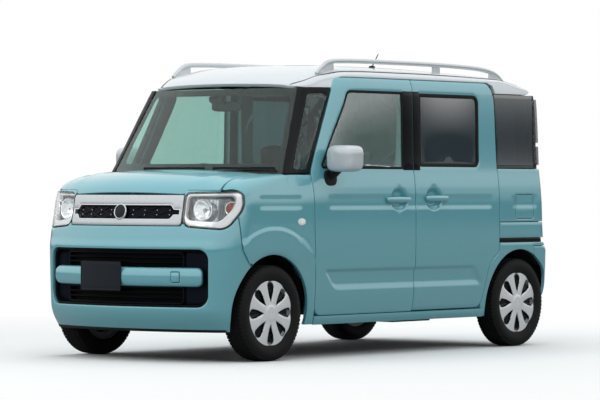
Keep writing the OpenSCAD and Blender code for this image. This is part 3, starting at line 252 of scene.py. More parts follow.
def fender_surface(uv):
    p, w = uv[:, 0], uv[:, 1]
    x, r, top, zs, y0 = fender_section(p)
    a = np.clip((w - zs) / r, 0, math.pi / 2)
    over = np.maximum(0, w - zs - r * math.pi / 2)
    flat = np.maximum(y0 - r - FENDER_EDGE_Y, .004)
    low = np.minimum(w, zs)
    y_low = side_y(np.minimum(x, CORNER_FOOT_X), low) - nose_step(x, low)
    y = np.where(w <= zs, y_low, y0 - r * (1 - np.cos(a)) - over)
    edge_z = bonnet_line(p) - BONNET_CROWN * FENDER_EDGE_Y ** 2
    z = np.where(w <= zs, w, zs + r * np.sin(a) + (edge_z - top) * np.minimum(1.2, over / flat) ** 2)
    x = np.where(w <= zs, x, x + BONNET_BOW * (y0 * y0 - y * y))
    return np.stack([x, y, z], 1)


roof_drop = curve((-1.54, .100), (-1.526, .092), (-1.48, .070), (-1.42, .056), (-1.32, .042), (-1.095, .026),
                  (-.70, .008),
                  (-.30, 0), (.10, .001), (.40, .013), (.534, .030), (.59, .041), (.665, .060), (.74, .090),
                  (.79, .122),
                  (.806, .136), (.82, .15))
roof_edge_z = curve((-1.54, 1.61), (-1.40, 1.63), (-1.15, 1.668), (.38, 1.668), (.60, 1.64), (.73, 1.603),
                    (.82, 1.5985))
ROOF_POWER = 2 / 2.2
ROOF_V, SKIRT_V = .62, .25


def roof_surface(uv):
    """Roof over (s, v): v is the way across, past ROOF_V down the skirt beside the doors."""
    s, v = uv[:, 0], uv[:, 1] / ROOF_V
    over = np.maximum(0, np.abs(v) - 1)
    edge = roof_edge_z(s)
    a = np.clip(np.abs(v), 0, 1) * math.pi / 2
    low = edge - over * SKIRT_V
    back = np.maximum(0, TAIL["xc"] + .09 - s)
    w = side_y(s, low) - back ** 2 / .26
    y = np.sign(v) * w * np.sin(a) ** ROOF_POWER
    z = low + (ROOF_Z - roof_drop(s) - edge) * np.maximum(0, np.cos(a)) ** ROOF_POWER
    bow = np.where(s > .3, SCREEN_BOW * np.maximum(0, (s - .3) / .508) ** 1.5,
                   -.125 * np.maximum(0, (-1.0 - s) / .526) ** 1.5)
    return np.stack([s - bow * y * y, y, z], 1)


def v_of_z(s, z):
    """Way across the roof of the height z on its skirt."""
    return ROOF_V * (1 + (float(roof_edge_z(s)) - z) / SKIRT_V)


# Mesh tools
def make(name, verts, faces, mats, index=None, sharp=35):
    """A mesh piece at the origin, smooth but for edges sharper than the given angle."""
    me = bpy.data.meshes.new(name)
    me.from_pydata([tuple(v) for v in verts], [], [tuple(int(i) for i in f) for f in faces])
    for m in mats if isinstance(mats, (list, tuple)) else [mats]:
        me.materials.append(m)
    if index is not None:
        me.polygons.foreach_set("material_index", np.asarray(index, np.int32))
    me.polygons.foreach_set("use_smooth", np.ones(len(me.polygons), bool))
    me.set_sharp_from_angle(angle=math.radians(sharp))
    me.validate()
    o = bpy.data.objects.new(name, me)
    bpy.context.scene.collection.objects.link(o)
    return o


def put(o, body="body", replaces=()):
    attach(o, body)
    if replaces:
        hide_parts(*replaces)
    return o


def loop_of(corners, step=.012):
    """A closed outline from corners (u, v, radius), listed anticlockwise, with points about a step apart."""
    pts = []
    n = len(corners)
    for i in range(n):
        b = np.array(corners[i][:2], float)
        a, c = np.array(corners[i - 1][:2], float), np.array(corners[(i + 1) % n][:2], float)
        r = corners[i][2] if len(corners[i]) > 2 else 0
        u, v = (a - b) / np.linalg.norm(a - b), (c - b) / np.linalg.norm(c - b)
        turn = math.acos(np.clip(u @ v, -1, 1))
        if r < 1e-4 or turn > 3.12:
            pts.append(b)
            continue
        m = (u + v) / np.linalg.norm(u + v)
        centre = b + m * r / math.sin(turn / 2)
        start = b + u * r / math.tan(turn / 2) - centre
        sweep = (math.pi - turn) * (1 if u[0] * v[1] - u[1] * v[0] < 0 else -1)
        for k in range(ARC_STEPS + 1):
            t = sweep * k / ARC_STEPS
            pts.append(centre + [start[0] * math.cos(t) - start[1] * math.sin(t),
                                 start[0] * math.sin(t) + start[1] * math.cos(t)])
    return dense(np.array(pts), step)


def box_loop(low, high, r, top_r=None):
    """A rectangular outline with rounded corners, which may have another radius at the top."""
    top_r = r if top_r is None else top_r
    return loop_of([(low[0], low[1], r), (high[0], low[1], r), (high[0], high[1], top_r), (low[0], high[1], top_r)])


def dense(pts, step):
    """The same closed outline with long stretches cut into steps."""
    out = []
    for a, b in zip(pts, np.roll(pts, -1, 0)):
        k = max(1, int(np.linalg.norm(b - a) / step))
        out += [a + (b - a) * i / k for i in range(k)]
    keep = [out[0]]
    for p in out[1:]:
        if np.linalg.norm(p - keep[-1]) > 2e-4:
            keep.append(p)
    return np.array(keep)


def grown(loop, k):
    """An outline moved outwards by k."""
    d1, d2 = loop - np.roll(loop, 1, 0), np.roll(loop, -1, 0) - loop
    n1 = np.stack([d1[:, 1], -d1[:, 0]], 1) / (np.linalg.norm(d1, axis=1)[:, None] + 1e-12)
    n2 = np.stack([d2[:, 1], -d2[:, 0]], 1) / (np.linalg.norm(d2, axis=1)[:, None] + 1e-12)
    n = n1 + n2
    n /= np.maximum(.6, (n * n1).sum(1))[:, None]
    return loop + n * k * (1 if area(loop) > 0 else -1)


def area(loop):
    q = np.roll(loop, -1, 0)
    return .5 * float((loop[:, 0] * q[:, 1] - loop[:, 1] * q[:, 0]).sum())


def inside(pts, loops):
    """Which points lie within an odd number of the outlines."""
    hit = np.zeros(len(pts), bool)
    for lp in loops:
        q = np.roll(lp, -1, 0)
        for (x0, y0), (x1, y1) in zip(lp, q):
            if y0 != y1:
                cross = (pts[:, 1] > y0) != (pts[:, 1] > y1)
                hit ^= cross & (pts[:, 0] < (x1 - x0) * (pts[:, 1] - y0) / (y1 - y0) + x0)
    return hit


def away(pts, loops, gap):
    """Which points are further than a gap from every outline."""
    keep = np.ones(len(pts), bool)
    for lp in loops:
        for a, b in zip(lp, np.roll(lp, -1, 0)):
            d = b - a
            t = np.clip(((pts - a) @ d) / max(d @ d, 1e-12), 0, 1)
            keep &= np.linalg.norm(pts - a - t[:, None] * d, axis=1) > gap
    return keep


def lines(low, high, step, *fine):
    """Grid lines from low to high, closer together inside each fine (from, to, step)."""
    out = [low]
    while out[-1] < high:
        s = min([f[2] for f in fine if f[0] - f[2] <= out[-1] <= f[1]] + [step])
        out.append(out[-1] + s)
    return np.array(out)


def skin_at(surf, uv, depth, flip, press=None):
    """Points at a depth below a surface, pressed in further where press says so."""
    e = 5e-4
    p = surf(uv)
    n = np.cross(surf(uv + [e, 0]) - surf(uv - [e, 0]), surf(uv + [0, e]) - surf(uv - [0, e]))
    n *= flip / np.maximum(np.linalg.norm(n, axis=1)[:, None], 1e-12)
    if press is not None:
        depth = depth + press(uv)
    return p - n * np.reshape(depth, (-1, 1))


def bridged(prev, cur, flip):
    """Faces between two rings of as many points."""
    out = []
    for a in range(len(prev)):
        b = (a + 1) % len(prev)
        f = (prev[a], cur[a], cur[b], prev[b])
        out.append(f if flip > 0 else f[::-1])
    return out


def panel_data(surf, loops, flip=1, depth=0.0, hem=HEM, lip=LIP, grid=.02, us=None, vs=None, press=None):
    """A pressed panel over loops[0] with the others cut out.

    Its parts are the face with its rolled edge (0), the hem (1) and the back (2).
    """
    loops = [lp if (area(lp) > 0) == (i == 0) else lp[::-1] for i, lp in enumerate(loops)]
    inner = [grown(lp, -lip if i == 0 else lip) for i, lp in enumerate(loops)]
    low, high = loops[0].min(0), loops[0].max(0)
    us = lines(low[0], high[0], grid) if us is None else us
    vs = lines(low[1], high[1], grid) if vs is None else vs
    pts = np.array([(u, v) for u in us for v in vs])
    pts = pts[(pts > low).all(1) & (pts < high).all(1)]
    pts = pts[inside(pts, inner)]
    pts = pts[away(pts, inner, min(grid, .012) * .55)]
    ring, edges, n = [], [], 0
    for lp in inner:
        edges += [(n + i, n + (i + 1) % len(lp)) for i in range(len(lp))]
        ring.append(lp)
        n += len(lp)
    uv = np.concatenate(ring + [pts]) if len(pts) else np.concatenate(ring)
    cdt = delaunay_2d_cdt([Vector(p) for p in uv], edges, [], 0, 1e-7)
    order = [o[0] if o else -1 for o in cdt[3]]
    tri = np.array([[order[i] for i in f] for f in cdt[2] if len(f) == 3])
    tri = tri[(tri >= 0).all(1)]
    tri = tri[inside(uv[tri].mean(1), inner)]
    q = uv[tri]
    turn = ((q[:, 1, 0] - q[:, 0, 0]) * (q[:, 2, 1] - q[:, 0, 1])
            - (q[:, 1, 1] - q[:, 0, 1]) * (q[:, 2, 0] - q[:, 0, 0]))
    tri = np.where((turn * flip > 0)[:, None], tri, tri[:, ::-1])
    verts = [skin_at(surf, uv, depth, flip, press)]
    faces = [tuple(f) for f in tri]
    part = [0] * len(faces)
    at, base, ends = len(uv), 0, []
    for i, lp in enumerate(inner):
        prev = range(base, base + len(lp))
        base += len(lp)
        for k, (inset, drop) in enumerate([(ROLL * lip, ROLL * lip), (0, lip), (0, hem)]):
            ring_uv = grown(loops[i], -inset if i == 0 else inset)
            verts.append(skin_at(surf, ring_uv, depth + drop, flip, press))
            cur = range(at, at + len(lp))
            at += len(lp)
            faces += bridged(prev, cur, flip)
            part += [0 if k < 2 else 1] * len(lp)
            prev = cur
        ends.append(prev)
    verts.append(skin_at(surf, uv, depth + hem, flip))
    faces += [tuple(at + i for i in f[::-1]) for f in tri]
    part += [2] * len(tri)
    for prev in ends:
        faces += bridged(prev, range(at, at + len(prev)), flip)
        part += [2] * len(prev)
        at += len(prev)
    return np.concatenate(verts), faces, part


def mirrored(data):
    v, f, part = data
    return v * [1, -1, 1], [tuple(x[::-1]) for x in f], part


SIDES = (("left", lambda d: d), ("right", mirrored))


def joined(*datas):
    """Several meshes as one; a mesh is its points, its faces and the part each face belongs to."""
    verts, faces, part, off = [], [], [], 0
    for v, f, p in datas:
        verts.append(np.asarray(v, float))
        faces += [tuple(i + off for i in x) for x in f]
        part += list(p)
        off += len(v)
    return np.concatenate(verts), faces, part


def both(data):
    return joined(data, mirrored(data))


def piece(name, data, mats, body="body", replaces=(), sharp=35):
    """A finished piece; its parts take the materials in order, and the last one serves for any part past it."""
    v, f, part = data
    mats = mats if isinstance(mats, (list, tuple)) else [mats]
    o = make(name, v, f, mats, np.minimum(part, len(mats) - 1), sharp)
    return put(o, body, replaces)


def block(low, high, r=.004):
    """A box with rounded edges."""
    bm = bmesh.new()
    bmesh.ops.create_cube(bm, size=1)
    low, high = np.array(low, float), np.array(high, float)
    for v in bm.verts:
        v.co = Vector((low + high) / 2 + np.array(v.co) * (high - low))
    r = min(r, float((high - low).min()) * .45)
    bmesh.ops.bevel(bm, geom=bm.edges[:], offset=r, segments=3, profile=.5, affect="EDGES", clamp_overlap=True)
    return from_bm(bm)


def from_bm(bm):
    bm.verts.index_update()
    v = np.array([x.co[:] for x in bm.verts])
    f = [tuple(x.index for x in p.verts) for p in bm.faces]
    bm.free()
    return v, f, [0] * len(f)


def moved(data, matrix):
    v, f, p = data
    m = np.array(matrix)
    flip = np.linalg.det(m[:3, :3]) < 0
    return v @ m[:3, :3].T + m[:3, 3], [tuple(x[::-1]) for x in f] if flip else f, p


def turned(profile, n=72, closed=False):
    """A turned piece about Z from (radius, height) points listed bottom to top on the outside."""
    prof = np.array(profile, float)
    m = len(prof)
    a = np.arange(n) * 2 * math.pi / n
    v = np.stack([prof[None, :, 0] * np.cos(a)[:, None], prof[None, :, 0] * np.sin(a)[:, None],
                  np.repeat(prof[None, :, 1], n, 0)], -1).reshape(-1, 3)
    f = []
    for i in range(n):
        j = (i + 1) % n
        for q in range(m if closed else m - 1):
            w = (q + 1) % m
            f.append((i * m + q, j * m + q, j * m + w, i * m + w))
    bm = bmesh.new()
    vs = [bm.verts.new(p) for p in v]
    for x in f:
        bm.faces.new([vs[i] for i in x])
    bmesh.ops.remove_doubles(bm, verts=bm.verts, dist=1e-6)
    bmesh.ops.dissolve_degenerate(bm, edges=bm.edges, dist=1e-7)
    return from_bm(bm)


def tube(path, r, n=12, flat=1.0, up=(0, 0, 1)):
    """A closed rod along a path; r is one radius or one for each point, flat squeezes it along up."""
    p = np.array(path, float)
    r = np.broadcast_to(np.asarray(r, float), (len(p),))
    t = np.gradient(p, axis=0)
    t /= np.linalg.norm(t, axis=1)[:, None]
    u = np.array(up, float) - t * (t @ np.array(up, float))[:, None]
    u /= np.maximum(np.linalg.norm(u, axis=1)[:, None], 1e-9)
    s = np.cross(t, u)
    a = np.arange(n) * 2 * math.pi / n
    ring = np.cos(a)[None, :, None] * s[:, None] + flat * np.sin(a)[None, :, None] * u[:, None]
    v = (p[:, None] + r[:, None, None] * ring).reshape(-1, 3)
    f = [(i * n + j, i * n + (j + 1) % n, (i + 1) * n + (j + 1) % n, (i + 1) * n + j)
         for i in range(len(p) - 1) for j in range(n)]
    f += [tuple(range(n))[::-1], tuple(range((len(p) - 1) * n, len(p) * n))]
    return v, f, [0] * len(f)


def spline(points, n=24):
    """A smooth path through points."""
    p = np.array(points, float)
    q = np.concatenate([[2 * p[0] - p[1]], p, [2 * p[-1] - p[-2]]])
    out = []
    for i in range(1, len(q) - 2):
        for k in range(n):
            t = k / n
            a, b, c, d = q[i - 1], q[i], q[i + 1], q[i + 2]
            out.append(.5 * (2 * b + (c - a) * t + (2 * a - 5 * b + 4 * c - d) * t ** 2
                             + (3 * b - a - 3 * c + d) * t ** 3))
    return np.array(out + [p[-1]])


def rim_strip(surf, loop, width, flip, depth=0.0, height=.003):
    """A thin band that follows an outline on a surface, width to its inside, height proud."""
    a = loop if area(loop) > 0 else loop[::-1]
    k = len(a)
    rings = [(0, height), (-width * .2, 0), (-width * .8, 0), (-width, height), (-width, height + .006),
             (0, height + .006)]
    v = np.concatenate([skin_at(surf, grown(a, g), depth + h, flip) for g, h in rings])
    m = len(rings)
    f = []
    for i in range(m):
        j = (i + 1) % m
        for q in range(k):
            w = (q + 1) % k
            x = (i * k + q, i * k + w, j * k + w, j * k + q)
            f.append(x if flip > 0 else x[::-1])
    return v, f, [0] * len(f)


# Materials
def srgb(*c):
    return tuple((v / 12.92 if v <= .04045 else ((v + .055) / 1.055) ** 2.4) for v in (x / 255 for x in c)) + (1,)


def node(tree, kind, **values):
    """A new node; lower-case names are its own settings, the others its sockets, with _ for a space."""
    n = tree.nodes.new(kind)
    for k, v in values.items():
        if k.islower():
            setattr(n, k, v)
        else:
            n.inputs[k.replace("_", " ")].default_value = v
    return n


def wire(tree, *rows):
    """Links; each row is a node, its output, the next node and its input."""
    for a, out, b, into in rows:
        tree.links.new(a.outputs[out], b.inputs[into])


def group(name, inputs, outputs, build):
    g = bpy.data.node_groups.new(name, "ShaderNodeTree")
    for n, kind, value in inputs:
        s = g.interface.new_socket(n, in_out="INPUT", socket_type=kind)
        s.default_value = value
    for n, kind in outputs:
        g.interface.new_socket(n, in_out="OUTPUT", socket_type=kind)
    build(g, g.nodes.new("NodeGroupInput"), g.nodes.new("NodeGroupOutput"))
    return g


def build_grain(g, gi, go):
    """Fine moulded grain: a bump and a small change of colour and roughness."""
    place = node(g, "ShaderNodeTexCoord")
    fine = node(g, "ShaderNodeTexNoise", Detail=4)
    bump = node(g, "ShaderNodeBump", Distance=.001)
    rough = node(g, "ShaderNodeMapRange")
    tint = node(g, "ShaderNodeMix", data_type="RGBA")
    wire(g, (place, "Object", fine, "Vector"), (gi, "Scale", fine, "Scale"), (gi, "Depth", bump, "Strength"),
         (fine, "Fac", bump, "Height"), (fine, "Fac", rough, "Value"), (gi, "Rough low", rough, "To Min"),
         (gi, "Rough high", rough, "To Max"), (fine, "Fac", tint, "Factor"), (gi, "Dark", tint, "A"),
         (gi, "Light", tint, "B"), (tint, "Result", go, "Colour"), (rough, "Result", go, "Roughness"),
         (bump, "Normal", go, "Normal"))


GRAIN = group("Moulded grain", [("Scale", "NodeSocketFloat", 900), ("Depth", "NodeSocketFloat", .3),
                                ("Rough low", "NodeSocketFloat", .4), ("Rough high", "NodeSocketFloat", .6),
                                ("Dark", "NodeSocketColor", (0, 0, 0, 1)), ("Light", "NodeSocketColor", (0, 0, 0, 1))],
              [("Colour", "NodeSocketColor"), ("Roughness", "NodeSocketFloat"), ("Normal", "NodeSocketVector")],
              build_grain)


def material(name, **sockets):
    m = bpy.data.materials.new(name)
    m.use_nodes = True
    b = m.node_tree.nodes["Principled BSDF"]
    for k, v in sockets.items():
        b.inputs[k.replace("_", " ")].default_value = v
    return m, m.node_tree, b


def grained(name, dark, light, scale=900, depth=.3, rough=(.4, .6), **sockets):
    """A finish with the moulded grain; sockets are set on the shader itself."""
    m, t, b = material(name, **sockets)
    g = node(t, "ShaderNodeGroup", node_tree=GRAIN, Scale=scale, Depth=depth, Rough_low=rough[0], Rough_high=rough[1],
             Dark=dark, Light=light)
    wire(t, (g, "Colour", b, "Base Color"), (g, "Roughness", b, "Roughness"), (g, "Normal", b, "Normal"))
    return m


def car_paint(name, base, flake):
    """Clear-coated paint: fine flakes in its colour and a slight waviness."""
    m, t, b = material(name, Metallic=.15, Roughness=.38, Coat_Weight=1.0, Coat_Roughness=.05, Coat_IOR=2.0,
                       Specular_IOR_Level=.4)
    place = node(t, "ShaderNodeTexCoord")
    cells = node(t, "ShaderNodeTexVoronoi", Scale=1400)
    mix = node(t, "ShaderNodeMix", data_type="RGBA", A=base, B=flake)
    wave = node(t, "ShaderNodeTexNoise", Scale=260)
    bump = node(t, "ShaderNodeBump", Strength=.05, Distance=.0004)
    wire(t, (place, "Object", cells, "Vector"), (cells, "Color", mix, "Factor"), (mix, "Result", b, "Base Color"),
         (place, "Object", wave, "Vector"), (wave, "Fac", bump, "Height"), (bump, "Normal", b, "Normal"))
    return m


def pane(name, tint, rough=.0, weight=1.0, ior=1.45):
    """Tinted glass with a faint film that changes its roughness."""
    m, t, b = material(name, Base_Color=tint, IOR=ior, Transmission_Weight=weight, Roughness=rough)
    place = node(t, "ShaderNodeTexCoord")
    film = node(t, "ShaderNodeTexNoise", Scale=6)
    ramp = node(t, "ShaderNodeMapRange", To_Min=rough, To_Max=rough + .02)
    wire(t, (place, "Object", film, "Vector"), (film, "Fac", ramp, "Value"), (ramp, "Result", b, "Roughness"))
    return m


PAINT = car_paint("Blue-green paint", srgb(93, 173, 186), srgb(113, 190, 202))
WHITE = car_paint("White paint", srgb(204, 213, 218), srgb(219, 227, 232))
GLOSS_BLACK = grained("Gloss black", srgb(6, 8, 11), srgb(13, 16, 20), 30, .02, (.12, .22), Specular_IOR_Level=.2)
TRIM = grained("Grained black plastic", srgb(10, 11, 13), srgb(24, 26, 29), 1400, .35, (.45, .65),
               Specular_IOR_Level=.3)
NAVY = grained("Dark insert plastic", srgb(7, 10, 18), srgb(17, 24, 38), 700, .15, (.3, .45), Specular_IOR_Level=.1)
RUBBER = grained("Black rubber seal", srgb(6, 7, 8), srgb(15, 16, 18), 700, .2, (.55, .75), Specular_IOR_Level=.3)
TYRE = grained("Tyre rubber", srgb(6, 7, 8), srgb(15, 16, 18), 420, .25, (.62, .82), Specular_IOR_Level=.3)
CHROME = grained("Bright chrome", srgb(214, 220, 222), srgb(234, 238, 240), 14, .01, (.04, .10), Metallic=1.0)
SATIN = grained("Silver paint", srgb(196, 202, 205), srgb(220, 225, 227), 900, .08, (.22, .34), Metallic=.55,
                Coat_Weight=.4)
COVER = grained("Wheel cover silver", srgb(232, 236, 239), srgb(246, 248, 250), 1200, .06, (.28, .4), Metallic=.15,
                Coat_Weight=1.0, Coat_IOR=2.0, Coat_Roughness=.2)
STEEL = grained("Bare steel", srgb(92, 96, 100), srgb(140, 144, 148), 160, .2, (.35, .55), Metallic=.9)
CAST = grained("Cast metal", srgb(90, 92, 94), srgb(124, 126, 128), 90, .5, (.5, .7), Metallic=.7)
CHASSIS = grained("Underbody paint", srgb(14, 15, 17), srgb(30, 32, 34), 220, .3, (.5, .7))
CABIN = grained("Cabin plastic", srgb(30, 31, 33), srgb(48, 49, 51), 1300, .3, (.5, .68))
LINING = grained("Roof lining", srgb(150, 146, 138), srgb(176, 172, 164), 800, .4, (.8, .95))
PLATE = grained("Blank plate", srgb(16, 22, 30), srgb(23, 31, 41), 60, .05, (.35, .45), Specular_IOR_Level=.3)
CLEAR = pane("Clear green glass", srgb(196, 228, 220))
SIDE = pane("Clear side glass", srgb(186, 222, 214), ior=2.3)
PRIVACY = pane("Dark privacy glass", srgb(58, 80, 86), ior=2.6)
SMOKE = pane("Smoked lamp lens", srgb(120, 124, 128), .03)
DEEP = grained("Deep black plastic", srgb(2, 3, 4), srgb(8, 9, 11), 900, .2, (.45, .6), Specular_IOR_Level=.12)
LENS = pane("Lamp lens", (.97, .98, .98, 1))
RED = pane("Red lens", srgb(200, 16, 18), .05, .55)
AMBER = pane("Amber bulb", srgb(255, 120, 20), .15, .45)
REFLECTOR = grained("Lamp reflector", srgb(62, 68, 73), srgb(140, 147, 152), 45, .03, (.04, .12), Metallic=1.0)


# Camera at the photograph's place, from the solved view
CAMERA_PLACE = (15.7407, 12.7578, 1.0009)
CAMERA_YAW, CAMERA_PITCH, CAMERA_ROLL = -140.957, -.206, .107
SENSOR, PHOTO_WIDTH, FOCAL_PIXELS = 36, 600, 3274.49
CAMERA_LENS = FOCAL_PIXELS / PHOTO_WIDTH * SENSOR
cam = bpy.data.objects.new("camera", bpy.data.cameras.new("camera"))
bpy.context.scene.collection.objects.link(cam)
yaw, pitch, roll = (math.radians(a) for a in (CAMERA_YAW, CAMERA_PITCH, CAMERA_ROLL))
look = Vector((math.cos(pitch) * math.cos(yaw), math.cos(pitch) * math.sin(yaw), math.sin(pitch)))
right = look.cross(Vector((0, 0, 1))).normalized()
upward = right.cross(look)
right, upward = (right * math.cos(roll) + upward * math.sin(roll), upward * math.cos(roll) - right * math.sin(roll))
cam.matrix_world = Matrix((right, upward, -look)).transposed().to_4x4()
cam.location = CAMERA_PLACE
cam.data.lens = CAMERA_LENS
cam.data.sensor_width = SENSOR
cam.data.clip_end = 200
bpy.context.scene.camera = cam
bpy.context.scene.view_settings.view_transform = "Standard"


def lamp(name, place, aim, size, power):
    """A soft area lamp that reflections don't show."""
    d = bpy.data.lights.new(name, "AREA")
    d.shape, d.size, d.size_y, d.energy = "RECTANGLE", size[0], size[1], power
    o = bpy.data.objects.new(name, d)
    bpy.context.scene.collection.objects.link(o)
    o.location = place
    o.visible_glossy = False
    o.rotation_euler = (Vector(aim) - Vector(place)).to_track_quat("-Z", "Y").to_euler()


lamp("top_light", (0, 0, 6.5), (0, 0, 0), (7, 5), 130)
lamp("nose_light", (8.0, -1.5, 4.8), (1.2, 0, .8), (6, 4), 170)
lamp("side_light", (1.0, 8.5, 6.0), (0, 0, .9), (8, 3), 110)
lamp("back_light", (-8, -3, 4.6), (-1, 0, .9), (5, 3), 140)


def sky_ramp(tree, *stops):
    """A colour ramp between two (place, colour) stops."""
    n = node(tree, "ShaderNodeValToRGB")
    for e, (place, colour) in zip(n.color_ramp.elements, stops):
        e.position, e.color = place, colour
    return n


def seen_directly(tree):
    """A value of 1 for rays straight from the camera or through glass, and the light path it comes from."""
    path, seen = node(tree, "ShaderNodeLightPath"), node(tree, "ShaderNodeMath", operation="MAXIMUM")
    wire(tree, (path, "Is Camera Ray", seen, 0), (path, "Is Transmission Ray", seen, 1))
    return seen, path


def build_world():
    """White where it is seen, a grey-to-white sky in reflections and a soft grey one for light."""
    w = bpy.data.worlds.new("studio")
    bpy.context.scene.world = w
    w.use_nodes = True
    t = w.node_tree
    place, sep = node(t, "ShaderNodeTexCoord"), node(t, "ShaderNodeSeparateXYZ")
    light = sky_ramp(t, (.02, (.22, .235, .24, 1)), (.50, (.70, .72, .73, 1)))
    sky = sky_ramp(t, (.02, (.07, .08, .09, 1)), (.14, (1, 1, 1, 1)))
    shine = node(t, "ShaderNodeMix", data_type="RGBA")
    mix = node(t, "ShaderNodeMix", data_type="RGBA", B=(1, 1, 1, 1))
    seen, path = seen_directly(t)
    wire(t, (place, "Generated", sep, "Vector"), (sep, "Z", light, "Fac"), (sep, "Z", sky, "Fac"),
         (path, "Is Glossy Ray", shine, "Factor"), (light, "Color", shine, "A"), (sky, "Color", shine, "B"),
         (seen, "Value", mix, "Factor"), (shine, "Result", mix, "A"),
         (mix, "Result", t.nodes["Background"], "Color"))


def build_floor():
    """A pale floor that keeps the car's shadow and runs out into the white background."""
    size, near, far = 60, 2.6, 6.0
    m, t, b = material("Pale floor", Roughness=.9)
    tone = node(t, "ShaderNodeMix", data_type="RGBA", A=(.30, .31, .31, 1), B=(.90, .91, .91, 1))
    place = node(t, "ShaderNodeTexCoord")
    length = node(t, "ShaderNodeVectorMath", operation="LENGTH")
    fade = node(t, "ShaderNodeMapRange", From_Min=near, From_Max=far)
    glow = node(t, "ShaderNodeEmission")
    power = node(t, "ShaderNodeMapRange", To_Min=.30)
    blend = node(t, "ShaderNodeMixShader")
    seen, _ = seen_directly(t)
    wire(t, (tone, "Result", b, "Base Color"), (seen, "Value", tone, "Factor"), (seen, "Value", power, "Value"),
         (power, "Result", glow, "Strength"), (place, "Object", length, 0), (length, "Value", fade, "Value"),
         (fade, "Result", blend, "Fac"), (b, "BSDF", blend, 1), (glow, "Emission", blend, 2),
         (blend, "Shader", t.nodes["Material Output"], "Surface"))
    o = make("floor", [(-size, -size, 0), (size, -size, 0), (size, size, 0), (-size, size, 0)], [(0, 1, 2, 3)], m)


build_world()
build_floor()


# Outlines in the side view: x, z, corner radius
DOOR_FRONT_X = AXLE_F - .370
DOOR_SPLIT_X = AXLE_F - 1.360
QUARTER_X = AXLE_R + .225
HEADLAMP_SIDE_X = AXLE_F + .250
TAIL_EDGE_Y = .612
TAIL_LAMP_X = AXLE_R - .178
GATE_Q = (TAIL["xc"] - TAIL["corner_r"] * (math.pi / 2 - TAIL["end"])
          - (TAIL["yc"] + TAIL["corner_r"] * math.sin(TAIL["end"]) - TAIL_EDGE_Y) / math.cos(TAIL["end"]))

FLAP = box_loop((AXLE_R - .145, .812), (AXLE_R + .05, .962), .018)


def tail_q(z):
    """Place on the quarter surface where it meets the tailgate, at height z."""
    return GATE_Q + float(tail_lean(z)) + .0035


FRONT_DOOR = loop_of([(DOOR_SPLIT_X, .250, .012), (DOOR_FRONT_X - .038, .250, .06), (DOOR_FRONT_X - .014, .60, .30),
                      (DOOR_FRONT_X, BELT_Z, .12), (AXLE_F - .618, 1.60, .06), (AXLE_F - .660, DOOR_TOP_Z, .04),
                      (DOOR_SPLIT_X, DOOR_TOP_Z, .01)])
FRONT_WINDOW = loop_of([(DOOR_SPLIT_X + .10, 1.12, .016), (DOOR_FRONT_X - .095, 1.12, .016), (AXLE_F - .697, 1.50, .06),
                        (AXLE_F - .736, 1.584, .05), (DOOR_SPLIT_X + .10, 1.584, .014)])
SLIDING_DOOR = loop_of([(QUARTER_X + .17, .256, .07), (DOOR_SPLIT_X, .256, .012), (DOOR_SPLIT_X, DOOR_TOP_Z, .01),
                        (QUARTER_X + .066, DOOR_TOP_Z, .07), (QUARTER_X + .024, 1.56, .2), (QUARTER_X, 1.08, .3),
                        (QUARTER_X, .60, .05), (QUARTER_X + .10, .54, .16)])
SLIDING_WINDOW = loop_of([(QUARTER_X + .196, 1.136, .045), (DOOR_SPLIT_X - .062, 1.136, .014),
                          (DOOR_SPLIT_X - .062, 1.58, .014), (QUARTER_X + .196, 1.58, .05)])
CORNER_WINDOW = loop_of([(DOOR_FRONT_X + .032, 1.112, .014), (CORNER_FOOT_X - .058, 1.112, .014),
                         (AXLE_F - .448, 1.56, .022), (AXLE_F - .592, 1.572, .026)])


def hollow(uv, low, high, z0, z1, depth, ramp):
    """A long pressed hollow between two heights with sloped ends; depth in metres."""
    u, z = uv[:, 0], uv[:, 1]
    across = ease(z, z0 - ramp, z0 + ramp) * (1 - ease(z, z1 - ramp, z1 + ramp))
    return depth * across * ease(u, low - 1.6 * ramp,
                                 low + 1.6 * ramp) * (1 - ease(u, high - 1.6 * ramp, high + 1.6 * ramp))


def cup(uv, place, half, depth):
    """A rounded diamond-shaped hollow behind a pull handle."""
    q = np.abs((uv - place) / half) ** 2.0
    return depth * ease(1 - q.sum(1), 0, .75)


def bulge(uv, loop, out):
    """A pane's swell: nothing at the edges of an outline's box, most in its middle."""
    low, high = loop.min(0), loop.max(0)
    q = (2 * uv - low - high) / (high - low)
    return -out * np.maximum(0, 1 - q[:, 0] ** 2) * np.maximum(0, 1 - q[:, 1] ** 2)


FRONT_CUP, SLIDING_CUP = np.array([-.042, .935]), np.array([-.392, .938])
CUP_HALF = np.array([.088, .074])
BEAD_Z, SCOOP_Z = (.885, .952), (.405, .515)


def bead(uv, low, high):
    """The long shallow hollow along the car's side, between two places along it."""
    return hollow(uv, low, high, *BEAD_Z, .0046, .013)


def door_press(uv):
    """Depth of the bead, the slanted scoop low on the doors and the two handle cups."""
    u, z = uv[:, 0], uv[:, 1]
    shifted = u - (z - .46) * .9
    scoop = .012 * ease(z, SCOOP_Z[0] - .022, SCOOP_Z[0] + .040) * (1 - ease(z, SCOOP_Z[1] - .009, SCOOP_Z[1] + .009))
    scoop *= ease(shifted, -.89, -.83) * (1 - ease(shifted, .59, .65))
    return bead(uv, -.985, .635) + scoop + cup(uv, FRONT_CUP, CUP_HALF, .026) + cup(uv, SLIDING_CUP, CUP_HALF, .026)


DOOR_ROWS = lines(.24, 1.67, .024, (.86, 1.01, .007), (.38, .54, .009))
DOOR_HEM = .046
PANE_GAP, PANE_HEM, PANE_LIP = .0006, .0045, .0008


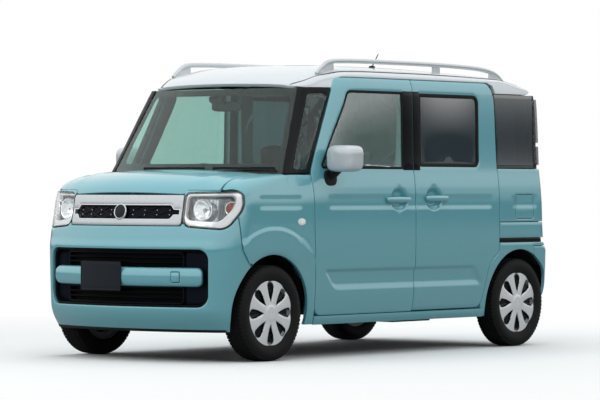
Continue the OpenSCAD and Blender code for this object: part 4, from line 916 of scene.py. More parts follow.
def door_data(outline, window, cols, seal_w, post):
    """A door's skin, pane and window seal, and the black trim on its post between two places along x."""
    skin = panel_data(side_surface, [grown(outline, -SHUT), window], -1, hem=DOOR_HEM, us=cols, vs=DOOR_ROWS,
                      press=door_press)
    glass = panel_data(side_surface, [grown(window, -PANE_GAP)], -1, depth=.006, hem=PANE_HEM, lip=PANE_LIP, grid=.03,
                       press=lambda uv: bulge(uv, window, .008))
    seal = rim_strip(side_surface, grown(window, .006), seal_w, -1, -.001)
    strip = panel_data(side_surface, [box_loop((post[0], 1.112), (post[1], 1.592), .002)], -1, depth=-.0012, hem=.0022,
                       lip=.0006, grid=.05)
    return skin, glass, seal, strip


def build_doors():
    cols = lines(-.21, .80, .022, (-.13, .05, .008), (.60, .67, .010))
    skin, glass, seal, strip = door_data(FRONT_DOOR, FRONT_WINDOW, cols, .018,
                                         (DOOR_SPLIT_X + .0025, DOOR_SPLIT_X + .104))
    for side, turn in SIDES:
        body, end = side + "_door", "_" + side
        piece("front_door_skin" + end, turn(skin), [PAINT, PAINT, CABIN], body, ["front_door" + end])
        piece("front_door_pane" + end, turn(glass), SIDE, body, ["front_door_glass" + end])
        piece("front_door_seal" + end, turn(seal), RUBBER, body)
        piece("front_door_post_trim" + end, turn(strip), GLOSS_BLACK, body)
    cols = lines(-1.12, -.20, .022, (-.49, -.30, .008), (-1.02, -.94, .010))
    skin, glass, seal, strip = door_data(SLIDING_DOOR, SLIDING_WINDOW, cols, .026,
                                         (DOOR_SPLIT_X - .066, DOOR_SPLIT_X - .0025))
    piece("sliding_door_skins", both(skin), [PAINT, PAINT, CABIN], "body", ["sliding_doors"])
    piece("sliding_door_panes", both(glass), PRIVACY, "body", ["privacy_glass"])
    piece("sliding_door_seals", both(seal), RUBBER)
    piece("sliding_door_post_trims", both(strip), GLOSS_BLACK)


FOOT_Z = SILL_Z + .004
ARCH_BEND = math.degrees(math.asin((FOOT_Z - HUB_Z) / ARCH_R))


def arch(x0, start, end, k=40):
    """Points of a wheel arch about the hub at x0, between two angles in degrees."""
    a = np.radians(np.linspace(start, end, k))
    return np.stack([x0 + ARCH_R * np.cos(a), HUB_Z + ARCH_R * np.sin(a)], 1)


def between(loop, start, end):
    """The stretch of a closed outline from the point nearest start on to the point nearest end."""
    i = int(np.argmin(np.linalg.norm(loop - start, axis=1)))
    j = int(np.argmin(np.linalg.norm(loop - end, axis=1)))
    return loop[i:j + 1] if i <= j else np.concatenate([loop[i:], loop[:j + 1]])


LAMP_LOW_Z, LAMP_HIGH_Z, LAMP_INNER_Y = .768, .984, .429
LAMP = loop_of([(t_of_y(LAMP_INNER_Y), LAMP_LOW_Z + .014, .06), (t_of_x(HEADLAMP_SIDE_X + .11, .762), .763, .09),
                (t_of_x(HEADLAMP_SIDE_X, .89), .89, .10), (t_of_x(HEADLAMP_SIDE_X, LAMP_HIGH_Z), LAMP_HIGH_Z, .035),
                (t_of_y(LAMP_INNER_Y), LAMP_HIGH_Z - .008, .032)], .010)
BUMPER_FENDER = [(1.360, .551), (1.398, .596), (1.428, .64), (1.438, .69), (1.444, .76), (1.450, .831)]
P_SIDE = BONNET_BOW * HALF_W ** 2 - AXLE_F


def w_of(p, z):
    """Way up the fender's section at p where it is at height z."""
    _, r, _, zs, _ = fender_section(np.array([p]))
    s = float(np.clip((z - zs[0]) / r[0], 0, 1))
    return float(zs[0] + r[0] * math.asin(s)) if z > zs[0] else z


def w_of_y(p, y):
    """Way up and over the fender's section at p where it is y from the middle line."""
    _, r, _, zs, y0 = fender_section(np.array([p]))
    return float(zs[0] + r[0] * math.pi / 2 + max(0, y0[0] - r[0] - y))


def fender_press(uv):
    """The bead on the fender, and a brow that stands out round the wheel arch."""
    x = uv[:, 0] - P_SIDE
    z = uv[:, 1]
    side = np.stack([x, z], 1)
    far = np.hypot(x - AXLE_F, z - HUB_Z)
    brow = .007 * (1 - ease(far, .482, .498)) * ease(z, .52, .62) * ease(far, ARCH_R, ARCH_R + .02)
    return bead(side, .905, 1.275) - brow


def build_fenders():
    edge = between(FRONT_DOOR, (DOOR_FRONT_X - .042, .30), (DOOR_FRONT_X - .001, BELT_Z - .012))
    edge = grown_line(edge, SHUT)
    low = [(edge[0][0] - .002, FOOT_Z)]
    front = math.degrees(math.acos((BUMPER_FENDER[0][0] - SHUT - AXLE_F) / ARCH_R))
    wheel = arch(AXLE_F, 180 - ARCH_BEND, front, 44)
    line = [(x - SHUT, z) for x, z in BUMPER_FENDER]
    side = np.concatenate([low, wheel, line])
    side[:, 0] += P_SIDE
    lamp_side = grown(LAMP, .004)
    rise = between(lamp_side, (t_of_x(1.450, .835), .835), (t_of_x(HEADLAMP_SIDE_X, .955), .955))
    at = nose_surface(rise)
    rise = [(x + P_SIDE, w_of(x + P_SIDE, z)) for x, _, z in at]
    p_tip = .4520
    top = [(p_tip, w_of_y(p_tip, FENDER_EDGE_Y))]
    brow = [tuple(np.array(rise[-1]) * (1 - k) + np.array(top[0]) * k) for k in (.25, .5, .75)]
    back_p = 1.062 + P_SIDE
    inner = [(p, w_of_y(p, FENDER_EDGE_Y)) for p in np.linspace(p_tip, back_p, 26)]
    foot = CORNER_FOOT_X + .004 + P_SIDE
    heel = [(foot + .02, w_of(foot + .02, 1.078)), (foot - .01, 1.0805)]
    back = [(x + P_SIDE, z) for x, z in edge[::-1] if z < 1.080]
    loop = dense(np.concatenate([side, rise, brow, inner, heel, back]), .012)
    rows = lines(.19, 1.26, .020, (.86, .97, .007), (.70, .80, .008))
    data = panel_data(fender_surface, [loop], -1, hem=.020, grid=.018, vs=rows, press=fender_press)
    piece("fender_skins", both(data), [PAINT, PAINT, CHASSIS], "body", ["fenders"])


def grown_line(line, k):
    """An open line moved sideways by k, to the right of its direction."""
    d = np.gradient(line, axis=0)
    n = np.stack([d[:, 1], -d[:, 0]], 1) / np.linalg.norm(d, axis=1)[:, None]
    return line + n * k


def ruled(a, b, thick):
    """A thin closed strip between two lines of points, thick downwards."""
    steps = 4
    rows = [a + (b - a) * k / steps for k in range(steps + 1)]
    top, n, m = np.concatenate(rows), len(a), steps + 1
    v = np.concatenate([top, top - [0, 0, thick]])
    f = [(i * n + j, i * n + j + 1, (i + 1) * n + j + 1, (i + 1) * n + j) for i in range(steps) for j in range(n - 1)]
    f += [tuple(k + n * m for k in q[::-1]) for q in f]
    rim = [j for j in range(n)] + [i * n + n - 1 for i in range(1, m)] + [(m - 1) * n + j for j in range(n - 2, -1, -1)]
    rim += [i * n for i in range(m - 2, 0, -1)]
    f += [(rim[k], rim[k] + n * m, rim[(k + 1) % len(rim)] + n * m, rim[(k + 1) % len(rim)]) for k in range(len(rim))]
    u, w = v[f[0][1]] - v[f[0][0]], v[f[0][3]] - v[f[0][0]]
    return v, f if np.cross(u, w)[2] > 0 else [q[::-1] for q in f], [0] * len(f)


def over_lamp(y):
    """Way along the bonnet of its front edge over a lamp, y from the middle line."""
    ps = np.linspace(.40, .48, 200)
    return float(np.interp(-.989 - BONNET_CROWN * y * y, -bonnet_line(ps), ps))


def build_bonnet():
    half = BONNET_HALF_W - SHUT
    rear_x = .0060
    ys = np.linspace(-half, half, 49)
    rear = [(rear_x + BONNET_BOW * y * y, y) for y in ys]
    tip = .4765
    front = [(over_lamp(y), y)
             for y in np.linspace(half, LAMP_INNER_Y + .004, 12)] + [(tip - .0015, LAMP_INNER_Y - .008)]
    front = front + [(tip, y) for y in np.linspace(.40, -.40, 33)] + [(p, -y) for p, y in front[::-1]]
    loop = dense(np.array(rear + front), .014)
    cols = lines(0, .48, .018, (.40, .48, .006))

    def crease(uv):
        """Two soft creases that run back from the lamps."""
        p, y = uv[:, 0], np.abs(uv[:, 1])
        return -.004 * np.exp(-((y - .47 - .06 * (.45 - p)) / .045) ** 2) * ease(p, .05, .2) * (1 - ease(p, .38, .46))
    data = panel_data(bonnet_surface, [loop], 1, hem=.016, grid=.02, us=cols, press=crease)
    ys = np.linspace(LAMP_INNER_Y - .004, half + .010, 24)
    back = bonnet_surface(np.array([(over_lamp(y), y) for y in ys])) + [.0035, 0, -.0025]
    top = LAMP[LAMP[:, 1] > .95]
    rim_z = np.interp([t_of_y(y) for y in ys], np.sort(top[:, 0]), top[np.argsort(top[:, 0]), 1])
    edge = nose_surface(np.array([(t_of_y(y), z + .0035) for y, z in zip(ys, rim_z)]))
    shelf = ruled(back, edge, .004)
    piece("lamp_shelves", both(shelf), PAINT)
    piece("bonnet_skin", data, [PAINT, PAINT, CHASSIS], "bonnet_lid", ["bonnet"])


def build_quarters():
    edge = between(SLIDING_DOOR, (QUARTER_X + .024, 1.56), (QUARTER_X + .16, .27))

    def stretch(z0, z1, k=10):
        return [(tail_q(z), z) for z in np.linspace(z0, z1, k)]

    def door_line(z0, z1):
        """Rear edge of the sliding door between two heights, going up."""
        pts = [(x - SHUT, z) for x, z in edge[::-1] if z0 < z < z1]
        xs = np.interp([z0, z1], [z for _, z in edge[::-1]], [x for x, _ in edge[::-1]]) - SHUT
        return [(xs[0], z0)] + pts + [(xs[1], z1)]
    upper = np.array(stretch(1.126, .792) + door_line(.792, 1.126))

    def press(uv):
        return bead(uv, -1.475, -1.235)
    rows = lines(.19, 1.6, .022, (.86, .97, .008))
    cols = lines(-1.78, -.9, .022, (-1.75, -1.52, .012))
    left = panel_data(quarter_surface, [dense(upper, .014), grown(FLAP, SHUT)], -1, us=cols, vs=rows, press=press)
    plain = panel_data(quarter_surface, [dense(upper, .014)], -1, us=cols, vs=rows, press=press)
    lid = panel_data(quarter_surface, [grown(FLAP, -SHUT / 2)], -1, hem=.010, us=cols, vs=rows, press=press)
    middle = np.array(stretch(.788, .690) + door_line(.690, .788))
    mid = panel_data(quarter_surface, [dense(middle, .014)], -1, us=cols, vs=rows)
    stop = math.degrees(math.acos(-.150 / ARCH_R))
    lower = np.array(stretch(.660, .6375, 3) + [(AXLE_R - .150, .6375)] + list(arch(AXLE_R, stop, ARCH_BEND))
                     + [(AXLE_R + .345, FOOT_Z)] + door_line(.262, .660))
    low = panel_data(quarter_surface, [dense(lower, .014)], -1, us=cols, vs=rows)
    piece("quarter_panels", joined(left, mirrored(plain), both(mid), both(low)), [PAINT, PAINT, CHASSIS], "body",
          ["body_sides"])
    piece("fuel_lid_skin", lid, [PAINT, PAINT, CHASSIS], "fuel_lid", ["fuel_flap"])
    slot = panel_data(quarter_surface, [dense(np.array(stretch(.689, .661, 3) + door_line(.661, .689)), .02)], -1,
                      depth=.014, hem=.01, us=cols)
    piece("door_rail_slots", both(slot), GLOSS_BLACK)
    lamp_edge = TAIL_LAMP_X + .006
    window = np.array([(lamp_edge, 1.130), *door_line(1.130, 1.5955), (lamp_edge, 1.5955)])
    glass = dense(window, .016)
    pane_data = panel_data(quarter_surface, [grown(glass, -.001)], -1, depth=.001, hem=.005, lip=.0012, us=cols)
    piece("quarter_panes", both(pane_data), PRIVACY)
    hole = loop_of([(lamp_edge + .022, 1.152, .03), (QUARTER_X - .03, 1.152, .03), (QUARTER_X - .012, 1.568, .03),
                    (lamp_edge + .022, 1.568, .03)])
    frit = panel_data(quarter_surface, [grown(glass, -.003), hole], -1, depth=.0068, hem=.030, lip=.0008, us=cols)
    piece("quarter_pane_frames", both(frit), GLOSS_BLACK)
    sill = loop_of([(AXLE_R + .348, SILL_Z, .004), (DOOR_FRONT_X - .0445, SILL_Z, .004),
                    (DOOR_FRONT_X - .0445, .2475, .004), (AXLE_R + .3455, .2475, .004)])
    piece("sill_strips", both(panel_data(side_surface, [sill], -1, hem=.03, grid=.03)), [PAINT, PAINT, CHASSIS])


def build_pillars():
    """Black windscreen pillars with their corner windows, and the frame round the windscreen."""
    def door_edge(z):
        return DOOR_FRONT_X + (z - BELT_Z) / (1.60 - BELT_Z) * (AXLE_F - .618 - DOOR_FRONT_X) + .0045
    zs = np.linspace(1.0865, 1.596, 30)
    loop = np.array([(door_edge(z), z) for z in zs[::-1]] + [(corner_x(z) - .001, z) for z in zs])
    data = panel_data(side_surface, [dense(loop, .016), CORNER_WINDOW], -1, hem=.034, grid=.025)
    glass = panel_data(side_surface, [grown(CORNER_WINDOW, -PANE_GAP)], -1, depth=.004, hem=PANE_HEM, lip=PANE_LIP,
                       grid=.04)
    edge_y = [(float(side_y(corner_x(z), z)) - .001, z) for z in zs]
    pane_edge = [(.664 - (z - 1.084) / .502 * .104, z) for z in zs]
    frame_loop = np.array([(y - .002, z) for y, z in pane_edge[::-1]] + edge_y)
    bar = panel_data(screen_surface, [dense(frame_loop, .016)], 1, hem=.034, grid=.02)
    piece("screen_pillars", both(joined(data, bar)), GLOSS_BLACK)
    piece("corner_panes", both(glass), CLEAR)
    wide = np.array([(-y, z) for y, z in pane_edge[::-1]] + [(y, z) for y, z in pane_edge])
    wide = dense(wide, .02)
    screen = panel_data(screen_surface, [wide], 1, depth=.0035, hem=.005, lip=.0008, grid=.05)
    piece("windscreen", screen, CLEAR, "body", ["clear_glass"])
    hole = loop_of([(-.612, 1.148, .05), (.612, 1.148, .05), (.535, 1.556, .05), (-.535, 1.556, .05)])
    frit = panel_data(screen_surface, [grown(wide, -.002), hole], 1, depth=.0095, hem=.002, lip=.0004, grid=.05)
    piece("windscreen_border", frit, GLOSS_BLACK)


def build_roof():
    rows = np.linspace(.495, -1.046, 40)
    side = [(s, v_of_z(s, DOOR_TOP_Z + SHUT)) for s in rows[1:-1]]
    front_drop = [(.5415, v_of_z(.5415, 1.5995)), (.520, v_of_z(.520, 1.636)), (.503, v_of_z(.503, 1.657))]
    front_skirt = [(s, v_of_z(s, 1.5995)) for s in np.linspace(.716, .56, 10)]
    lip_v = [(.8035, v) for v in np.linspace(0, .50, 20)] + [(.7985, .56), (.783, .60), (.757, .625)]
    rear_drop = [(-1.062, v_of_z(-1.062, 1.648)), (-1.070, v_of_z(-1.070, 1.625)), (-1.074, v_of_z(-1.074, 1.599))]
    rear_skirt = [(s, v_of_z(s, 1.599)) for s in np.linspace(-1.09, -1.47, 16)]
    tail = [(-1.495, .640), (-1.515, .60), (-1.523, .55)] + [(-1.526, v) for v in np.linspace(.50, 0, 18)]
    half = np.array(lip_v + front_skirt + front_drop + side + rear_drop + rear_skirt + tail)
    other = half[::-1][1:-1] * [1, -1]
    loop = dense(np.concatenate([half, other]), .02)
    data = panel_data(roof_surface, [loop], 1, hem=.022, grid=.03,
                      vs=lines(-.75, .75, .03, (-.72, -.46, .012), (.46, .72, .012)),
                      us=lines(-1.53, .81, .035, (.55, .81, .014), (-1.53, -1.40, .014)), press=roof_press)
    piece("roof_skin", data, [WHITE, WHITE, LINING], "body", ["roof"])


def roof_joint(s):
    """Way across the roof of the joint between its panel and the body sides."""
    return .470 - .02 * ease(s, .45, .80)


def roof_press(uv):
    """The joint between the roof panel and the body sides, and three shallow stiffening beads."""
    s, v = uv[:, 0], np.abs(uv[:, 1])
    ditch = .006 * np.exp(-((v - roof_joint(s)) / .007) ** 2) * ease(s, -1.50, -1.46)
    beads = sum(.0035 * np.exp(-((v - c) / .028) ** 2) for c in (.0, .13, .26))
    return ditch + beads * ease(s, -1.40, -1.25) * (1 - ease(s, .30, .48))


# Repeats made by Geometry Nodes
def repeat_tree(name, ring):
    """A node tree that repeats its geometry: along a step, or round the Y axis."""
    g = bpy.data.node_groups.new(name, "GeometryNodeTree")
    g.interface.new_socket("Geometry", in_out="INPUT", socket_type="NodeSocketGeometry")
    count = g.interface.new_socket("Count", in_out="INPUT", socket_type="NodeSocketInt")
    step = g.interface.new_socket("Step", in_out="INPUT", socket_type="NodeSocketVector")
    mat = g.interface.new_socket("Material", in_out="INPUT", socket_type="NodeSocketMaterial")
    g.interface.new_socket("Geometry", in_out="OUTPUT", socket_type="NodeSocketGeometry")
    gi, go = node(g, "NodeGroupInput"), node(g, "NodeGroupOutput")
    row, inst = node(g, "GeometryNodeMeshLine", Offset=(0, 0, 0)), node(g, "GeometryNodeInstanceOnPoints")
    real, paint = node(g, "GeometryNodeRealizeInstances"), node(g, "GeometryNodeSetMaterial")
    if ring:
        index, turn = node(g, "GeometryNodeInputIndex"), node(g, "ShaderNodeVectorMath", operation="SCALE")
        wire(g, (gi, "Step", turn, 0), (index, "Index", turn, "Scale"), (turn, "Vector", inst, "Rotation"))
    else:
        wire(g, (gi, "Step", row, "Offset"))
    wire(g, (gi, "Count", row, "Count"), (row, "Mesh", inst, "Points"), (gi, "Geometry", inst, "Instance"),
         (inst, "Instances", real, "Geometry"), (real, "Geometry", paint, "Geometry"),
         (gi, "Material", paint, "Material"), (paint, "Geometry", go, "Geometry"))
    return g, dict(count=count.identifier, step=step.identifier, mat=mat.identifier)


ROW_TREE = repeat_tree("Row of copies", False)
RING_TREE = repeat_tree("Ring of copies", True)


def repeated(tree, data, count, step, mat):
    """The mesh data of many copies of a piece, through a Geometry Nodes tree."""
    v, f, _ = data
    o = make("repeat_source", v, f, mat)
    mod = o.modifiers.new("Repeat", "NODES")
    mod.node_group, key = tree
    mod[key["count"]], mod[key["mat"]] = count, mat
    for i in range(3):
        mod[key["step"]][i] = float(step[i])
    o.update_tag()
    seen = o.evaluated_get(bpy.context.evaluated_depsgraph_get())
    me = bpy.data.meshes.new_from_object(seen)
    out = np.array([x.co[:] for x in me.vertices]), [tuple(p.vertices) for p in me.polygons], [0] * len(me.polygons)
    o.modifiers.remove(mod)
    bpy.data.objects.remove(o)
    bpy.data.meshes.remove(me)
    return out


# Nose
def nose_box(y, z, r, top_r=None):
    """A rectangular outline on the nose between two places across and two heights."""
    return box_loop((t_of_y(y[0]), z[0]), (t_of_y(y[1]), z[1]), r, top_r)


GRILLE_Z, BAR_Z = .862, .49
MOUTH = nose_box((-.605, .605), (.318, .650), .07, .062)
BAR = nose_box((-.570, .570), (.435, .545), .038)
BAND = nose_box((-.425, .425), (.7855, .9625), .02, .012)
INSERT_HALF = [(.408, .848, .004), (.372, .848, .012), (.352, .822, .020)]
INSERT_HALF = INSERT_HALF[::-1] + [(y, 2 * GRILLE_Z - z, r) for y, z, r in INSERT_HALF]
INSERT = loop_of([(t_of_y(y), z, r) for y, z, r in INSERT_HALF] + [(t_of_y(-y), z, r) for y, z, r in INSERT_HALF[::-1]])


def build_bumper():
    low = .176
    rear = [(t_of_x(AXLE_F + math.sqrt(ARCH_R ** 2 - (z - HUB_Z) ** 2), z), z) for z in np.linspace(low, .549, 26)]
    line = [(t_of_x(x + SHUT, z), z) for x, z in BUMPER_FENDER]
    rim = grown(LAMP, .004)
    under = between(rim, (t_of_y(LAMP_INNER_Y), .80), (t_of_x(1.452, .834), .834))[::-1]
    left = ([(t, low) for t in np.linspace(0, rear[0][0], 40)[:-1]] + rear + line + [tuple(p) for p in under
                                                                                     if p[1] < .834]
            + [(t, BUMPER_TOP_Z - .001) for t in np.linspace(t_of_y(.424), 0, 24)])
    left = np.array(left)
    loop = dense(np.concatenate([left, left[::-1][1:-1] * [-1, 1]]), .012)

    def press(uv):
        """The face stands a little prouder round the mouth."""
        u, z = np.abs(uv[:, 0]), uv[:, 1]
        return -.007 * (1 - ease(u, t_of_y(.61), t_of_y(.68))) * ease(z, .24, .31) * (1 - ease(z, .66, .71))
    data = panel_data(nose_surface, [loop, MOUTH], 1, hem=.02, lip=.004, grid=.02, press=press,
                      us=lines(-1.05, 1.05, .022, (-.76, -.60, .012), (.60, .76, .012)),
                      vs=lines(.17, .85, .02, (.17, .32, .012), (.64, .80, .012)))
    piece("front_bumper_skin", data, [PAINT, PAINT, CHASSIS], "body", ["front_bumper"])
    frame_ring = panel_data(nose_surface, [grown(MOUTH, .006), grown(MOUTH, -.013)], 1, depth=.012, hem=.05, lip=.003)
    wall = panel_data(nose_surface, [grown(MOUTH, .006)], 1, depth=.060, hem=.01, grid=.06)
    piece("mouth_frame", joined(frame_ring, wall), DEEP, "body", ["lower_grille"])
    y0, y1 = t_of_y(.462), t_of_y(.597)
    pocket = loop_of([(y0, .328, .02), (y1, .328, .062), (y1, .640, .054), (y0, .640, .02)])
    side = panel_data(nose_surface, [pocket], 1, depth=.030, hem=.03, lip=.008,
                      press=lambda uv: .020 * np.maximum(0, 1 - ((uv[:, 0] - (y0 + y1) / 2) / .07) ** 2))
    piece("mouth_pockets", both(side), NAVY)
    span = np.linspace(-t_of_y(.45), t_of_y(.45), 40)
    slat = tube(skin_at(nose_surface, np.stack([span, np.full(40, .340)], 1), .030, 1), .0055, 8, flat=2.2,
                up=(1, 0, .45))
    piece("mouth_slats", repeated(ROW_TREE, slat, 11, (0, 0, .0288), DEEP), DEEP)
    ring = rim_strip(nose_surface, nose_box((-.455, .455), (.334, .634), .03), .010, 1, .020, .004)
    piece("mouth_inner_frame", ring, NAVY)
    cover = nose_box((.385, .435), (.462, .518), .006)

    def round_bar(uv):
        return -.016 * np.maximum(0, 1 - ((uv[:, 1] - BAR_Z) / .058) ** 2)
    bar = panel_data(nose_surface, [BAR, grown(cover, .0012)], 1, depth=.006, hem=.022, lip=.010, grid=.012,
                     press=round_bar)
    lid = panel_data(nose_surface, [cover], 1, depth=.006, hem=.010, lip=.0015, grid=.01, press=round_bar)
    piece("bumper_bar", joined(bar, lid), [PAINT, PAINT, CHASSIS])
    plate = nose_box((-.285, .045), (.408, .573), .008)
    shell = panel_data(nose_surface, [plate], 1, depth=-.015, hem=.004, lip=.001, grid=.03)
    rim = rim_strip(nose_surface, grown(plate, .001), .007, 1, -.0165, .0012)
    piece("blank_plate", joined(shell, rim), PLATE)
    reach = t_of_x(1.50, .19)
    under_lip = box_loop((-reach, .1735), (reach, .190), .004)
    piece("bumper_under_lip", panel_data(nose_surface, [under_lip], 1, depth=-.0015, hem=.03, lip=.002), TRIM)


def build_grille():
    band = panel_data(nose_surface, [BAND, INSERT], 1, depth=-.002, hem=.020, lip=.005,
                      press=lambda uv: .004 * ease(np.abs(uv[:, 1] - GRILLE_Z), .075, .10))
    piece("grille_band", band, [SATIN, SATIN, CHASSIS], "body", ["upper_grille"])
    back = panel_data(nose_surface, [grown(INSERT, .002)], 1, depth=.016, hem=.008, lip=.001)
    piece("grille_insert", back, NAVY)
    rows = []
    span = np.linspace(t_of_y(-.368), t_of_y(.368), 180)
    for k, z in enumerate((.836, GRILLE_Z, .888)):
        wave = z + .008 * np.sin(span * 52 + k * math.pi)
        rows.append(tube(skin_at(nose_surface, np.stack([span, wave], 1), .013, 1), .0034, 8))
    piece("grille_waves", joined(*rows), GLOSS_BLACK)
    ball = bmesh.new()
    bmesh.ops.create_uvsphere(ball, u_segments=10, v_segments=6, radius=.0036)
    stud = from_bm(ball)
    studs = []
    for z in (.849, .875):
        spots = skin_at(nose_surface, np.stack([np.linspace(t_of_y(-.34), t_of_y(.34), 9), np.full(9, z)], 1), .011, 1)
        studs += [moved(stud, Matrix.Translation(Vector(p))) for p in spots]
    piece("grille_studs", joined(*studs), SATIN)
    trim = rim_strip(nose_surface, grown(INSERT, .006), .008, 1, -.003, .003)
    piece("grille_insert_rim", trim, CHROME)
    disc = turned([(.038, 0), (.047, 0), (.048, .003), (.048, .010), (.046, .0135), (.042, .0145), (.039, .0130),
                   (.038, .006)], 64, closed=True)
    face = turned([(0, .001), (.0392, .001), (.0392, .0095), (.030, .0115), (0, .0125)], 64)
    nose = nose_surface(np.array([[0, GRILLE_Z]]))[0]
    slope = math.atan(.20)
    place = Matrix.Translation(Vector(nose) - Vector((.006, 0, 0))) @ Matrix.Rotation(math.pi / 2 - slope, 4, "Y")
    piece("grille_disc_rim", moved(disc, place), CHROME)
    piece("grille_disc_face", moved(face, place), PLATE)


def lamp_bowl(place, aim, r, deep):
    """A round reflector bowl with a bright rim and a bulb."""
    prof = [(0.004, -deep), *[(r * math.sqrt(k), -deep + deep * k) for k in np.linspace(.05, 1, 12)], (r + .004, .002),
            (r + .006, -.002),
            (r + .003, -.006), (r * .55, -deep - .004), (0.004, -deep - .003)]
    bowl = turned(prof[::-1], 48)
    bulb = turned([(0, -deep - .002), (.008, -deep), (.010, -deep * .6), (.007, -deep * .3), (0, -deep * .22)], 24)
    m = Matrix.Translation(Vector(place)) @ Vector(aim).to_track_quat("Z", "Y").to_matrix().to_4x4()
    return moved(bowl, m), moved(bulb, m)


def build_headlamps():
    lens = panel_data(nose_surface, [grown(LAMP, -.0005)], 1, hem=.003, lip=.0015, grid=.014)
    piece("headlamp_covers", both(lens), LENS, "body", ["headlamp_lenses"])
    rim = panel_data(nose_surface, [grown(LAMP, -.0012), grown(LAMP, -.008)], 1, depth=.0045, hem=.070, lip=.001)
    t_in, t_mid = t_of_y(LAMP_INNER_Y), t_of_x(HEADLAMP_SIDE_X + .11, .762)
    t_out = t_of_x(HEADLAMP_SIDE_X, .89)
    opening = loop_of([(t_in + .016, .820, .045), (t_mid - .050, .808, .07), (t_out - .066, .890, .09),
                       (t_out - .052, .962, .03),
                       (t_in + .016, .958, .022)])
    border = panel_data(nose_surface, [grown(LAMP, -.007), opening], 1, depth=.010, hem=.030, lip=.004, grid=.012)
    wall = panel_data(nose_surface, [grown(LAMP, -.004)], 1, depth=.062, hem=.004, grid=.0075,
                      press=lambda uv: .008 * np.abs(np.sin(uv[:, 0] * 150)))
    piece("headlamp_shells", both(rim), CABIN, "body", ["headlamp_housings"])
    piece("headlamp_borders", both(border), COVER)
    piece("headlamp_reflectors", both(wall), REFLECTOR)
    main = skin_at(nose_surface, np.array([[t_of_y(.535), .880]]), .028, 1)[0]
    turn = skin_at(nose_surface, np.array([[t_of_x(1.475, .885), .885]]), .026, 1)[0]
    bowl, bulb = lamp_bowl(main, (1, .10, 0), .058, .040)
    small, amber = lamp_bowl(turn, (.75, .66, 0), .036, .030)
    piece("headlamp_bowls", both(joined(bowl, small)), CHROME)
    piece("headlamp_bulbs", both(bulb), LENS)
    piece("turn_bulbs", both(amber), AMBER)


def on_axle(name):
    """Matrix from wheel axes (outer face along +Y) to the wheel's place; right wheels are turned about."""
    p = pivot[name + "_wheel_turn"]
    return Matrix.Translation(p) @ Matrix.Rotation(0 if p.y > 0 else math.pi, 4, "Z")


